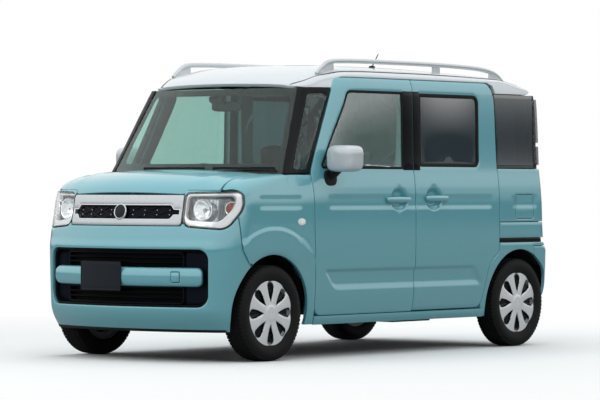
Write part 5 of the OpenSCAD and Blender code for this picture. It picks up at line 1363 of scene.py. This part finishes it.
def build_wheels():
    low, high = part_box("tyre_front_left")
    wide, r = (high.y - low.y) / 2, (high.z - low.z) / 2
    to_y = Matrix.Rotation(-math.pi / 2, 4, "X")
    base = r - .006
    side = [(.186, .056), (.190, .064), (.202, .070), (.222, wide - .0005), (.238, wide), (.252, wide - .003),
            (.264, wide - .009),
            (base - .002, wide - .016), (base, wide - .022)]
    ribs = []
    half = .0085
    for c in (.030, .010, -.010, -.030):
        ribs += [(base, c + half), (r - .0002, c + half - .0012), (r - .0002, c - half + .0012), (base, c - half)]
    prof = [(a, -h) for a, h in side] + ribs[::-1] + [(a, h) for a, h in side[::-1]] + [(.180, .050), (.180, -.050)]
    tyre = moved(turned(prof, 96, closed=True), to_y)
    blk = block((-.0088, .042, base - .004), (.0088, wide - .0125, r - .0004), .002)
    blk[0][:, 2] -= np.maximum(0, blk[0][:, 1] - .050) ** 2 * 14
    more = moved(blk, Matrix.Rotation(math.pi, 4, "Z"))
    n_blocks = 72
    blocks = repeated(RING_TREE, joined(blk, more), n_blocks, (0, 2 * math.pi / n_blocks, 0), TYRE)
    cover_r, face = .206, (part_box("wheel_front_left")[1].y - WHEEL_Y)
    rim = turned([(.150, -.050), (.178, -.052), (.1925, -.056), (.1925, -.060), (.180, -.058), (.176, -.050),
                  (.172, .040),
                  (.178, .048), (.1925, .056), (.1925, .060), (.186, .0595), (.176, .054), (.168, .044), (.150, .030)],
                 96, closed=True)
    rim = moved(rim, to_y)
    # The face ends at the last of these radii; from there a slope runs back to the edge at cover_r
    rr = np.concatenate([np.linspace(0.004, .056, 8), np.linspace(.059, .186, 33), [.190]])
    n_t, n_r = 240, len(rr)
    th = np.arange(n_t) * 2 * math.pi / n_t
    R, T = np.meshgrid(rr, th, indexing="ij")
    pitch = 360 / 8
    off = np.abs((np.degrees(T) % pitch) - pitch / 2)
    half = np.interp(R / cover_r, [.30, .33, .40, .50, .60, .70, .78, .84, .88, .90],
                     [-4, 1.5, 4.8, 7.6, 9.4, 10.0, 9.2, 6.8, 2.0, -4])
    hole = ease(half - (pitch / 2 - off), -.8, 1.2)
    dome = .006 * (1 - (R / cover_r) ** 2.2) - .004 * ease(R / cover_r, .955, 1)
    dome -= .005 * ease(off, 6, 22) * ease(R / cover_r, .25, .5)
    hub = .003 * (1 - ease(R, .040, .047))
    H = face - .004 + dome + hub - .015 * hole
    v = np.stack([R * np.cos(T), H, -R * np.sin(T)], -1).reshape(-1, 3)
    top_n = len(v)
    back_y = face - .030
    back = np.stack([cover_r * np.cos(th), np.full(n_t, back_y), -cover_r * np.sin(th)], -1)
    v = np.concatenate([v, back, [[0, face + .003, 0], [0, back_y, 0]]])
    f, part = [], []
    # Painted shade: the slots are shallow hollows, not cut through, and their faces take gloss black to stand for the
    # dark depth behind real slots.
    dark = hole > .15
    for i in range(n_r - 1):
        for j in range(n_t):
            k = (j + 1) % n_t
            f.append((i * n_t + j, (i + 1) * n_t + j, (i + 1) * n_t + k, i * n_t + k))
            part.append(1 if dark[i, j] or dark[i + 1, k] else 0)
    for j in range(n_t):
        k = (j + 1) % n_t
        f += [((n_r - 1) * n_t + j, top_n + j, top_n + k, (n_r - 1) * n_t + k), (j, k, top_n + n_t),
              (top_n + j, top_n + n_t + 1, top_n + k)]
        part += [0, 0, 0]
    cover = (v, [x[::-1] for x in f], part)
    for name in ("front_left", "front_right", "rear_left", "rear_right"):
        m = on_axle(name)
        body = name + "_wheel"
        piece("tyre_carcass_" + name, moved(tyre, m), TYRE, body, ["tyre_" + name])
        piece("tyre_blocks_" + name, moved(blocks, m), TYRE, body)
        piece("wheel_rim_" + name, moved(rim, m), STEEL, body, ["wheel_" + name])
        # Part 1, the slot hollows, is gloss black as painted shade.
        piece("wheel_cover_" + name, moved(cover, m), [COVER, GLOSS_BLACK], body)


def rounded(half, power, n=40):
    """A cushion-shaped solid: a sphere pushed towards its box."""
    bm = bmesh.new()
    bmesh.ops.create_cube(bm, size=2)
    bmesh.ops.subdivide_edges(bm, edges=bm.edges[:], cuts=n // 4, use_grid_fill=True)
    v, f, p = from_bm(bm)
    q = v / (np.abs(v) ** power).sum(1)[:, None] ** (1 / power)
    return q * np.array(half), f, p


def build_mirrors():
    cap = rounded((.074, .106, .079), 4.2, 56)
    cap[0][:, 0] = np.where(cap[0][:, 0] < 0, cap[0][:, 0] * .82, cap[0][:, 0])
    cap[0][:, 1] += .10 * cap[0][:, 2] * .3
    place = Matrix.Translation((.616, .836, 1.176))
    shell = moved(cap, place)
    glass = moved(rounded((.004, .086, .066), 4, 40), Matrix.Translation((.5565, .838, 1.178)))
    base_y = float(side_y(.60, 1.10))
    neck = tube(spline([(.612, base_y - .004, 1.062), (.612, base_y + .026, 1.074), (.614, base_y + .060, 1.098),
                        (.615, base_y + .090, 1.116)], 8), .026, 16, flat=.62)
    foot = rounded((.060, .014, .055), 2.8, 32)
    foot = moved(foot, Matrix.Translation((.612, base_y + .003, 1.056)))
    for side, turn in SIDES:
        body = side + "_door"
        piece("mirror_cap_" + side, turn(shell), WHITE, body, ["mirror_" + side])
        piece("mirror_glass_" + side, turn(glass), CHROME, body)
        piece("mirror_foot_" + side, turn(joined(neck, foot)), TRIM, body)


def roof_z(x, y):
    """Height of the roof at a place, by halving the way across it."""
    low, high = 0.0, ROOF_V
    for _ in range(40):
        mid = (low + high) / 2
        p = roof_surface(np.array([[x, mid]]))[0]
        low, high = (mid, high) if p[1] < abs(y) else (low, mid)
    return float(roof_surface(np.array([[x, low]]))[0, 2])


def build_rails():
    y = .566
    path = spline([(.556, y, roof_z(.556, y) - .004), (.515, y, roof_z(.515, y) + .020), (.44, y, 1.755),
                   (.30, y, 1.766), (0, y, 1.770),
                   (-.6, y, 1.770), (-1.0, y, 1.762), (-1.18, y, 1.747), (-1.28, y, roof_z(-1.28, y) + .026),
                   (-1.344, y, roof_z(-1.344, y) - .004)], 10)
    reach = np.minimum(path[:, 0] + 1.346, .560 - path[:, 0])
    rail = tube(path, .0120 + .0045 * ease(reach, 0, .12), 16, flat=.90)
    legs = []
    for x0, x1 in ((.556, .40), (-.60, -.665), (-1.344, -1.20)):
        xs = np.linspace(x0, x1, 14)
        top = np.interp(-xs, -path[:, 0], path[:, 2])
        low = np.array([roof_z(x, y) for x in xs]) - .006
        ring = [[(x, y - .009, a), (x, y + .009, a), (x, y + .006, b), (x, y - .006, b)]
                for x, a, b in zip(xs, low, np.maximum(top, low + .002))]
        v = np.array(ring).reshape(-1, 3)
        f = [(i * 4 + j, (i + 1) * 4 + j, (i + 1) * 4 + (j + 1) % 4, i * 4 + (j + 1) % 4) for i in range(13)
             for j in range(4)]
        f += [(0, 1, 2, 3), tuple(52 + j for j in (3, 2, 1, 0))]
        legs.append((v, f if x0 < x1 else [t[::-1] for t in f], [0] * len(f)))
    piece("roof_rail_bars", both(joined(rail, *legs)), SATIN, "body", ["roof_rails"])
    stretch = np.linspace(.790, -1.42, 90)
    joint = np.stack([stretch, roof_joint(stretch)], 1)
    seam = tube(skin_at(roof_surface, joint, .003, 1), .0042, 8)
    piece("roof_seams", both(seam), RUBBER)
    x, y = AXLE_F - 1.445, .33
    z = roof_z(x, y)
    rod = tube(spline([(x, y, z + .006), (x - .018, y, z + .028), (x - .062, y, z + .086)], 8),
               np.linspace(.0042, .0026, 17), 10)
    foot = moved(rounded((.024, .013, .009), 2.6, 24), Matrix.Translation((x + .002, y, z + .002)))
    piece("aerial_rod", joined(rod, foot), TRIM, "body", ["aerial"])


def build_handles():
    """Pull handles over the door cups and the side turn lamps."""
    def grip(x0, x1, z):
        xs = np.linspace(x0, x1, 30)
        out = .004 + .012 * np.sin(np.linspace(0, math.pi, 30)) ** .35
        ys = side_y(xs, np.full(30, z)) + out
        wide = .0080 + .0035 * np.sin(np.linspace(0, math.pi, 30)) ** .4
        return tube(np.stack([xs, ys, np.full(30, z)], 1), wide, 14, flat=1.55)
    front, rear = grip(.092, -.140, .9325), grip(-.302, -.522, .9400)
    for side, turn in SIDES:
        piece("front_door_grip_" + side, turn(front), PAINT, side + "_door")
    piece("sliding_door_grips", both(rear), PAINT)
    a = np.linspace(0, 2 * math.pi, 40, endpoint=False)
    ring = np.stack([.902 + P_SIDE + .032 * np.cos(a), .805 + .017 * np.sin(a)], 1)
    base = panel_data(fender_surface, [grown(ring, .004)], -1, depth=-.0015, hem=.004, lip=.0015, grid=.01)
    lens = panel_data(fender_surface, [ring], -1, depth=-.0022, hem=.003, lip=.002, grid=.006,
                      press=lambda uv: -.006
                      * np.maximum(0, 1 - ((uv[:, 0] - P_SIDE - .902) / .034) ** 2 - ((uv[:, 1] - .805) / .019) ** 2))
    piece("side_lamp_bases", both(base), COVER)
    piece("side_lamp_lenses", both(lens), LENS)


# Tail
def build_tail():
    def t(y):
        return t_of_y(y, TAIL)
    gate = loop_of([(t(-.606), .668, .03), (t(.606), .668, .03), (t(.606), 1.50, .1), (t(.590), 1.640, .05),
                    (t(-.590), 1.640, .05), (t(-.606), 1.50, .1)], .014)
    window = loop_of([(t(-.520), 1.12, .05), (t(.520), 1.12, .05), (t(.510), 1.54, .06), (t(-.510), 1.54, .06)], .014)
    plate_well = (np.array([0, .815]), np.array([t(.24), .085]))

    def press(uv):
        q = (np.abs(uv - plate_well[0]) / plate_well[1]) ** 6
        return .022 * (1 - ease(q.sum(1), .55, 1.25)) + hollow(uv, -.9, .9, .955, 1.005, -.008, .014)
    data = panel_data(tail_surface, [gate, window], -1, hem=.030, grid=.02, press=press,
                      vs=lines(.66, 1.65, .022, (.70, 1.03, .010)))
    piece("tailgate_skin", data, [PAINT, PAINT, CABIN], "rear_gate", ["tailgate"])
    glass = panel_data(tail_surface, [grown(window, .010)], -1, depth=-.001, hem=.005, lip=.001, grid=.05)
    piece("tailgate_pane", glass, PRIVACY, "rear_gate", ["tailgate_glass"])
    border = panel_data(tail_surface, [grown(window, .004), grown(window, -.024)], -1, depth=.0045, hem=.004, lip=.0005)
    piece("tailgate_pane_border", border, GLOSS_BLACK, "rear_gate")
    lip = box_loop((t(-.25), .975), (t(.25), 1.0), .008)
    piece("tailgate_grip", panel_data(tail_surface, [lip], -1, depth=-.016, hem=.016, lip=.005, grid=.01), SATIN,
          "rear_gate")
    loop = box_loop((t(-.12), 1.578), (t(.12), 1.598), .006)
    piece("high_stop_lamp", panel_data(tail_surface, [loop], -1, depth=-.003, hem=.008, lip=.002, grid=.02), RED,
          "rear_gate")
    reach = np.linspace(0, 1, 20)[:, None]
    arm = skin_at(tail_surface, np.array([t(.02), 1.075]) + reach * [t(-.30), .070], -.016, -1)
    blade = skin_at(tail_surface, np.array([t(-.06), 1.138]) + reach * [t(-.40), .006], -.008, -1)
    knob = moved(rounded((.014, .020, .020), 2.6, 24), Matrix.Translation(arm[0]))
    wiper = joined(tube(arm, np.linspace(.008, .005, 20), 10), tube(blade, .0055, 10), knob)
    piece("rear_wiper", wiper, TRIM, "rear_gate")
    low = .178
    arch_z = np.linspace(.6165 - .012, low, 24)

    def t_arch(z):
        x = AXLE_R - math.sqrt(max(0, ARCH_R ** 2 - (z - HUB_Z) ** 2))
        return t_of_x(min(x, AXLE_R - .150), z, TAIL)
    side = [(t_of_x(AXLE_R - .1525, .6335, TAIL), .6335)] + [(t_arch(z) - .0005, z) for z in arch_z]
    left = np.array([(0, .6335)] + [(k, .6335) for k in np.linspace(.05, side[0][0], 30)[:-1]] + side
                    + [(k, low) for k in np.linspace(side[-1][0], 0, 30)[1:]])
    loop = dense(np.concatenate([left, left[::-1][1:-1] * [-1, 1]]), .014)

    def bumper_press(uv):
        return hollow(uv, -.50, .50, .36, .50, .006, .012)
    bumper = panel_data(tail_surface, [loop], -1, hem=.02, grid=.02, press=bumper_press,
                        us=lines(-1.1, 1.1, .022, (-.85, -.62, .012), (.62, .85, .012)),
                        vs=lines(.17, .64, .02, (.17, .30, .012), (.56, .64, .008)))
    piece("rear_bumper_skin", bumper, [PAINT, PAINT, CHASSIS], "body", ["rear_bumper"])
    loop = box_loop((t(.46), .415), (t(.60), .455), .012)
    reflector = panel_data(tail_surface, [loop], -1, depth=-.003, hem=.008, lip=.002, grid=.02)
    piece("rear_reflectors", both(reflector), RED)

    def corner_strip(zs, step):
        """The upright outline of the lamps on the rear corner."""
        return dense(np.array([(tail_q(z), z) for z in zs[::-1]] + [(TAIL_LAMP_X + .0035, z) for z in zs]), step)

    def ribs(uv):
        return .0022 * (.5 + .5 * np.cos(uv[:, 1] * 2 * math.pi / .0168)) * ease(uv[:, 0], -1.52, -1.50)
    upper, lower = [panel_data(quarter_surface, [corner_strip(np.linspace(z0, z1, 12), .012)], -1, depth=-.001,
                               hem=.012,
                               lip=.003, grid=.012, vs=lines(z0, z1, .0042), press=ribs)
                    for z0, z1 in ((1.294, 1.572), (1.152, 1.272))]
    v, f, _ = both(joined(upper, lower))
    beside = [1 if np.abs(v[list(q), 1]).mean() > .668 else 0 for q in f]
    piece("tail_lamp_lenses", (v, f, beside), [RED, SMOKE], "body", ["tail_lamps"])
    tray = panel_data(quarter_surface, [corner_strip(np.linspace(1.1285, 1.5965, 30), .014)], -1, depth=.014, hem=.02,
                      lip=.001, grid=.03)
    piece("tail_lamp_trays", both(tray), CABIN)


# Cabin
FABRIC = grained("Seat fabric", srgb(62, 60, 60), srgb(98, 95, 93), 1500, .7, (.86, .97))
SCREEN = grained("Dark display", srgb(8, 10, 12), srgb(14, 17, 20), 20, .01, (.05, .12))
PAD_PRESSURE, PAD_FRAMES = 4, 20


def remeshed(data, voxel):
    """The mesh data of a closed shape rebuilt from even small faces."""
    o = make("remesh_source", data[0], data[1], FABRIC)
    mod = o.modifiers.new("Remesh", "REMESH")
    mod.mode, mod.voxel_size = "VOXEL", voxel
    return taken(o)


def taken(o):
    """The evaluated mesh data of a helper object, which is removed."""
    me = bpy.data.meshes.new_from_object(o.evaluated_get(bpy.context.evaluated_depsgraph_get()))
    v = np.array([x.co[:] for x in me.vertices])
    f = [tuple(p.vertices) for p in me.polygons]
    bpy.data.objects.remove(o)
    bpy.data.meshes.remove(me)
    return v, f, [0] * len(f)


def swollen(data, voxel, cap):
    """A pad blown up as cloth by its filling, with the movement of each point held to a cap."""
    v, f, part = remeshed(data, voxel)
    o = make("pad_source", v, f, FABRIC)
    cloth = o.modifiers.new("Cloth", "CLOTH")
    cloth.settings.use_pressure = True
    cloth.settings.uniform_pressure_force = PAD_PRESSURE
    cloth.settings.effector_weights.gravity = 0
    cloth.settings.quality = 4
    scene = bpy.context.scene
    for k in range(1, PAD_FRAMES + 1):
        scene.frame_set(k)
    full = taken(o)[0]
    scene.frame_set(1)
    step = full - v
    far = np.linalg.norm(step, axis=1)[:, None]
    return v + step * np.minimum(1, cap / np.maximum(far, 1e-9)), f, part


def pad(half, power, crown):
    """A cushion's start shape: a rounded block whose sides pull in between its corners."""
    v, f, p = rounded(half, power, 64)
    q = v / np.array(half)
    v[:, 0] *= 1 - .05 * (1 - q[:, 1] ** 2) * np.abs(q[:, 0]) ** 3
    v[:, 1] *= 1 - .05 * (1 - q[:, 0] ** 2) * np.abs(q[:, 1]) ** 3
    v[:, 2] += crown * (1 - q[:, 0] ** 2) * (1 - q[:, 1] ** 2) * (q[:, 2] > 0)
    return v, f, p


def sewn(data, half_w, channels, cross):
    """Bolsters along both sides, sewn channels along the pad and one across it."""
    v, f, p = data
    v = v.copy()
    up = ease(v[:, 2], 0, .03)
    across = np.abs(v[:, 1]) / half_w
    v[:, 2] += up * .020 * ease(across, .60, .80)
    for c in channels:
        v[:, 2] -= up * .008 * np.exp(-((np.abs(v[:, 1]) - c * half_w) / .007) ** 2)
    v[:, 2] -= up * .008 * np.exp(-((v[:, 0] - cross) / .007) ** 2) * (across < .60)
    return v, f, p


def build_seats():
    cushion = sewn(swollen(pad((.252, .224, .058), 5, .012), .006, .012), .224, (.30, .62), .06)
    back = sewn(swollen(pad((.300, .222, .050), 5, .010), .006, .012), .222, (.30, .62), -.02)
    rest = swollen(pad((.074, .110, .032), 3.4, .006), .005, .008)
    lean = Matrix.Rotation(math.radians(-86), 4, "Y")
    rows = (("front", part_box("front_seats"), .320, .470, 0), ("rear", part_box("rear_seats"), .268, .520, .04))
    for name, (low, high), y, wide, up in rows:
        grow = Matrix.Diagonal((1, wide / .470, 1, 1))
        x = low.x + .300
        pads = ((cushion, (x + .012, y, .522 + up), Matrix.Rotation(math.radians(-4), 4, "Y"), 1, "cushion"),
                (back, (low.x + .078, y, .812 + up * .4), lean, 1 if name == "front" else .90, "back"),
                (rest, (low.x + .072, y, high.z - .086), lean, 1, "headrest"))
        for data, place, turn, tall, kind in pads:
            m = Matrix.Translation(place) @ turn @ grow @ Matrix.Diagonal((tall, 1, 1, 1))
            one = moved(data, m)
            o = piece(name + "_seat_" + kind + "s", both(one), FABRIC, "body",
                      [name + "_seats"] if kind == "cushion" else (), sharp=180)
        base = block((x - .185, y - .19, low.z + .001), (x + .190, y + .19, .470 + up), .03)
        posts = [tube([(low.x + .078, y + s * .045, high.z - .20), (low.x + .074, y + s * .045, high.z - .10)], .006,
                      12)
                 for s in (-1, 1)]
        shell = block((low.x + .004, y - wide * .40, .55 + up), (low.x + .030, y + wide * .40, 1.04), .012)
        piece(name + "_seat_bases", both(joined(base, shell)), CABIN)
        piece(name + "_headrest_posts", both(joined(*posts)), STEEL)


def swept(profile, y0, y1, r):
    """A closed solid of an outline in x and z, drawn out along y with rounded ends."""
    p = np.array(profile, float)
    p = p if area(p) > 0 else p[::-1]
    k = len(p)
    rings = [(grown(p, -r), y0), (grown(p, -r * .3), y0 + r * .3), (p, y0 + r), (p, y1 - r),
             (grown(p, -r * .3), y1 - r * .3), (grown(p, -r), y1)]
    v = np.concatenate([np.stack([q[:, 0], np.full(k, y), q[:, 1]], 1) for q, y in rings])
    f = [(i * k + j, (i + 1) * k + j, (i + 1) * k + (j + 1) % k, i * k + (j + 1) % k) for i in range(5)
         for j in range(k)]
    f += [tuple(range(k)), tuple(range(5 * k, 6 * k))[::-1]]
    return v, f, [0] * len(f)


def build_dash():
    low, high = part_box("dashboard")
    a, b = low.x, high.x
    top = high.z
    prof = loop_of([(b - .002, .700, .01), (b - .002, top, .03), (a + .19, top + .004, .08), (a + .062, top - .05, .05),
                    (a + .048, .93, .03), (a + .090, .86, .03), (a + .068, .79, .03), (a + .10, .70, .03)])
    main = swept(prof, -.575, .575, r=.02)
    lower = swept(loop_of([(a + .008, .565, .02), (a + .10, .565, .02), (a + .11, .86, .02), (a + .030, .87, .02)]),
                  -.115, .115, r=.012)
    hood = rounded((.110, .165, .052), 3, 48)
    hood[0][:, 2] = np.where(hood[0][:, 2] < 0, hood[0][:, 2] * .6, hood[0][:, 2])
    hood = moved(hood, Matrix.Translation((a + .155, -.33, top + .002)))
    tilt = Matrix.Translation((a + .050, .0, .965)) @ Matrix.Rotation(math.radians(14), 4, "Y")
    frame_box = moved(block((-.012, -.125, -.072), (.03, .125, .072), .012), tilt)
    display = moved(block((-.0145, -.112, -.058), (-.006, .112, .058), .004), tilt)
    piece("dashboard_shell", joined(main, lower, hood, frame_box), CABIN, "body", ["dashboard"])
    dials = moved(block((-.002, -.12, -.034), (.004, .12, .034), .003),
                  Matrix.Translation((a + .056, -.33, 1.004)) @ Matrix.Rotation(math.radians(12), 4, "Y"))
    piece("dashboard_displays", joined(display, dials), SCREEN)
    rims, slats = [], []
    for y in (-.50, -.165, .165, .50):
        rims.append(moved(turned([(.040, -.012), (.046, -.010), (.047, .004), (.044, .008), (.039, .006),
                                  (.038, -.012)], 40, closed=True),
                          Matrix.Translation((a + .060, y, .955)) @ Matrix.Rotation(-math.pi / 2, 4, "Y")))
        slat = block((a + .060, y - .036, .9335), (a + .070, y + .036, .9365), .001)
        slats.append(repeated(ROW_TREE, slat, 5, (0, 0, .0105), TRIM))
    piece("vent_rims", joined(*rims), SATIN)
    piece("vent_slats", joined(*slats), TRIM)
    knob = turned([(0, 0), (.019, 0), (.020, .004), (.019, .018), (.016, .020), (0, .0205)], 32)
    knobs = [moved(knob, Matrix.Translation((a + .018, y, .80)) @ Matrix.Rotation(-math.pi / 2 + .15, 4, "Y"))
             for y in (-.07, 0, .07)]
    stick = tube(spline([(a + .04, -.085, .86), (a - .005, -.085, .885), (a - .03, -.085, .905)], 6), .007, 12)
    grip = moved(rounded((.018, .018, .028), 2.6, 24), Matrix.Translation((a - .036, -.085, .918)))
    piece("dashboard_controls", joined(*knobs, stick, grip), GLOSS_BLACK)


def build_steering():
    joint = pivot["steering_wheel_turn"]
    axis = Vector(next(j["axis"] for j in frame["joints"] if j["name"] == "steering_wheel_turn")).normalized()
    if axis.x > 0:
        axis = -axis
    low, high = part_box("steering_wheel")
    r = (high.y - low.y) / 2 - .015
    across = Vector((0, 1, 0))
    upward_axis = across.cross(axis).normalized()
    m = Matrix((across, upward_axis, axis)).transposed().to_4x4()
    centre = Vector((low + high) / 2)
    centre.y = joint.y
    m.translation = joint + axis * (centre - joint).dot(axis)
    a = np.linspace(0, 2 * math.pi, 97)[:-1]
    ring = np.stack([r * np.cos(a), r * np.sin(a), 0 * a], 1)
    n = 14
    b = np.arange(n) * 2 * math.pi / n
    out = ring / r
    v = (ring[:, None] + .0145
         * (np.cos(b)[None, :, None] * out[:, None] + np.sin(b)[None, :, None] * np.array([0, 0, 1.0]))).reshape(-1, 3)
    k = len(a)
    f = [(i * n + j, ((i + 1) % k) * n + j, ((i + 1) % k) * n + (j + 1) % n, i * n + (j + 1) % n) for i in range(k)
         for j in range(n)]
    rim = v, f, [0] * len(f)
    hub = moved(rounded((.072, .058, .020), 3.2, 40), Matrix.Translation((0, -.004, -.004)))
    spokes = [tube(spline([(s * .05, c, .000), (s * .11, c * 1.1, .002), (s * (r - .004), c * 1.2, .002)], 6), .017,
                   12, flat=.40)
              for s, c in ((-1, .012), (1, .012))]
    low_spoke = tube(spline([(0, -.04, .000), (0, -.10, .002), (0, -(r - .004), .003)], 6),
                     np.linspace(.020, .012, 13), 12, flat=.40)
    piece("steering_wheel_rim", moved(joined(rim, *spokes, low_spoke), m), CABIN, "hand_wheel", ["steering_wheel"])
    piece("steering_wheel_pad", moved(hub, m), TRIM, "hand_wheel")


def build_cabin_top():
    """Inner mirror, sensor housing and sun visors at the top of the windscreen."""
    y, z = 0.0, 1.535
    x = float(screen_x(0, z)) - .020
    housing = rounded((.030, .055, .026), 3.2, 32)
    housing = moved(housing, Matrix.Translation((x - .022, y, z)) @ Matrix.Rotation(math.radians(30), 4, "Y"))
    stem = tube(spline([(x - .05, 0, z + .01), (x - .075, 0, z - .010), (x - .09, 0, z - .035)], 6), .007, 12)
    glass = moved(rounded((.012, .115, .030), 4, 40), Matrix.Translation((x - .098, .01, z - .045)))
    piece("inner_mirror", joined(housing, stem, glass), CABIN)
    visor = [moved(block((-.075, s * .31 - .17, -.008), (.075, s * .31 + .17, .008), .006),
                   Matrix.Translation((.625, 0, 1.612)) @ Matrix.Rotation(math.radians(16), 4, "Y")) for s in (-1, 1)]
    piece("sun_visors", joined(*visor), LINING)


def build_body_frame():
    """Sills, posts and rails behind the doors, and the dark inner sides."""
    low_z, post_y = .33, (.605, .645)
    boxes = [((QUARTER_X + .04, .602, SILL_Z + .005), (DOOR_FRONT_X - .060, .649, low_z)),
             ((DOOR_FRONT_X - .020, .580, .30), (DOOR_FRONT_X + .006, .616, 1.112)),
             ((DOOR_SPLIT_X - .060, post_y[0], .30), (DOOR_SPLIT_X + .060, post_y[1], 1.63)),
             ((QUARTER_X - .060, .600, .64), (QUARTER_X + .040, .640, 1.602))]
    posts = joined(*[block(a, b, .008) for a, b in boxes])
    rail = loop_of([(QUARTER_X - .05, 1.600, .01), (.46, 1.600, .01), (.40, 1.645, .01), (QUARTER_X - .05, 1.645, .01)])
    cant = panel_data(side_surface, [rail], -1, depth=.052, hem=.016, grid=.05)
    piece("body_frame", both(joined(posts, cant)), PAINT)
    wall = loop_of([(tail_q(.63) + .012, .626, .004), (QUARTER_X - .006, .626, .004), (QUARTER_X - .006, 1.12, .004),
                    (tail_q(1.12) + .012, 1.12, .004)])
    inner = panel_data(quarter_surface, [wall, grown(FLAP, .012)], -1, depth=.024, hem=.004, lip=.001, grid=.03)
    a = np.radians(np.linspace(20, 138, 50))
    arc = np.stack([np.cos(a), np.sin(a)], 1)
    flange = np.concatenate([[AXLE_R, HUB_Z] + .410 * arc, [AXLE_R, HUB_Z] + .344 * arc[::-1]])
    collar = panel_data(side_surface, [dense(flange, .02)], -1, depth=.020, hem=.050, lip=.001, grid=.03)
    piece("inner_quarter_panels", both(joined(inner, collar)), CHASSIS)
    floor = panel_data(quarter_surface, [grown(FLAP, .012)], -1, depth=.062, hem=.003, grid=.02)
    sides = panel_data(quarter_surface, [grown(FLAP, .015), grown(FLAP, .012)], -1, depth=.016, hem=.048, lip=.001)
    piece("filler_pocket", joined(floor, sides), [PAINT, PAINT, CHASSIS])
    middle = FLAP.mean(0)
    place = Matrix.Translation(skin_at(quarter_surface, middle[None], .050, -1)[0])
    cap = joined(rounded((.036, .013, .036), 3, 40),
                 moved(rounded((.030, .007, .008), 3, 24), Matrix.Translation((0, .013, 0))))
    piece("filler_cap", moved(cap, place), TRIM)


FINISH = {"floor_pan": CHASSIS, "front_wipers": TRIM, "engine": CAST, "front_subframe": CHASSIS, "rear_axle": CHASSIS,
          "rear_dampers": STEEL, "fuel_tank": TRIM, "exhaust": STEEL, "wheel_liners": TRIM, "hinges": STEEL,
          "knuckle_left": CAST, "knuckle_right": CAST}


def finish_nodes():
    """Give every CAD node that still shows its own finish."""
    for name, mat in FINISH.items():
        me = bpy.data.objects[name].data
        me.materials.clear()
        me.materials.append(mat)


build_doors()
build_fenders()
build_bonnet()
build_quarters()
build_pillars()
build_roof()
build_bumper()
build_grille()
build_headlamps()
build_wheels()
build_mirrors()
build_rails()
build_handles()
build_tail()
build_seats()
build_dash()
build_steering()
build_cabin_top()
build_body_frame()
finish_nodes()
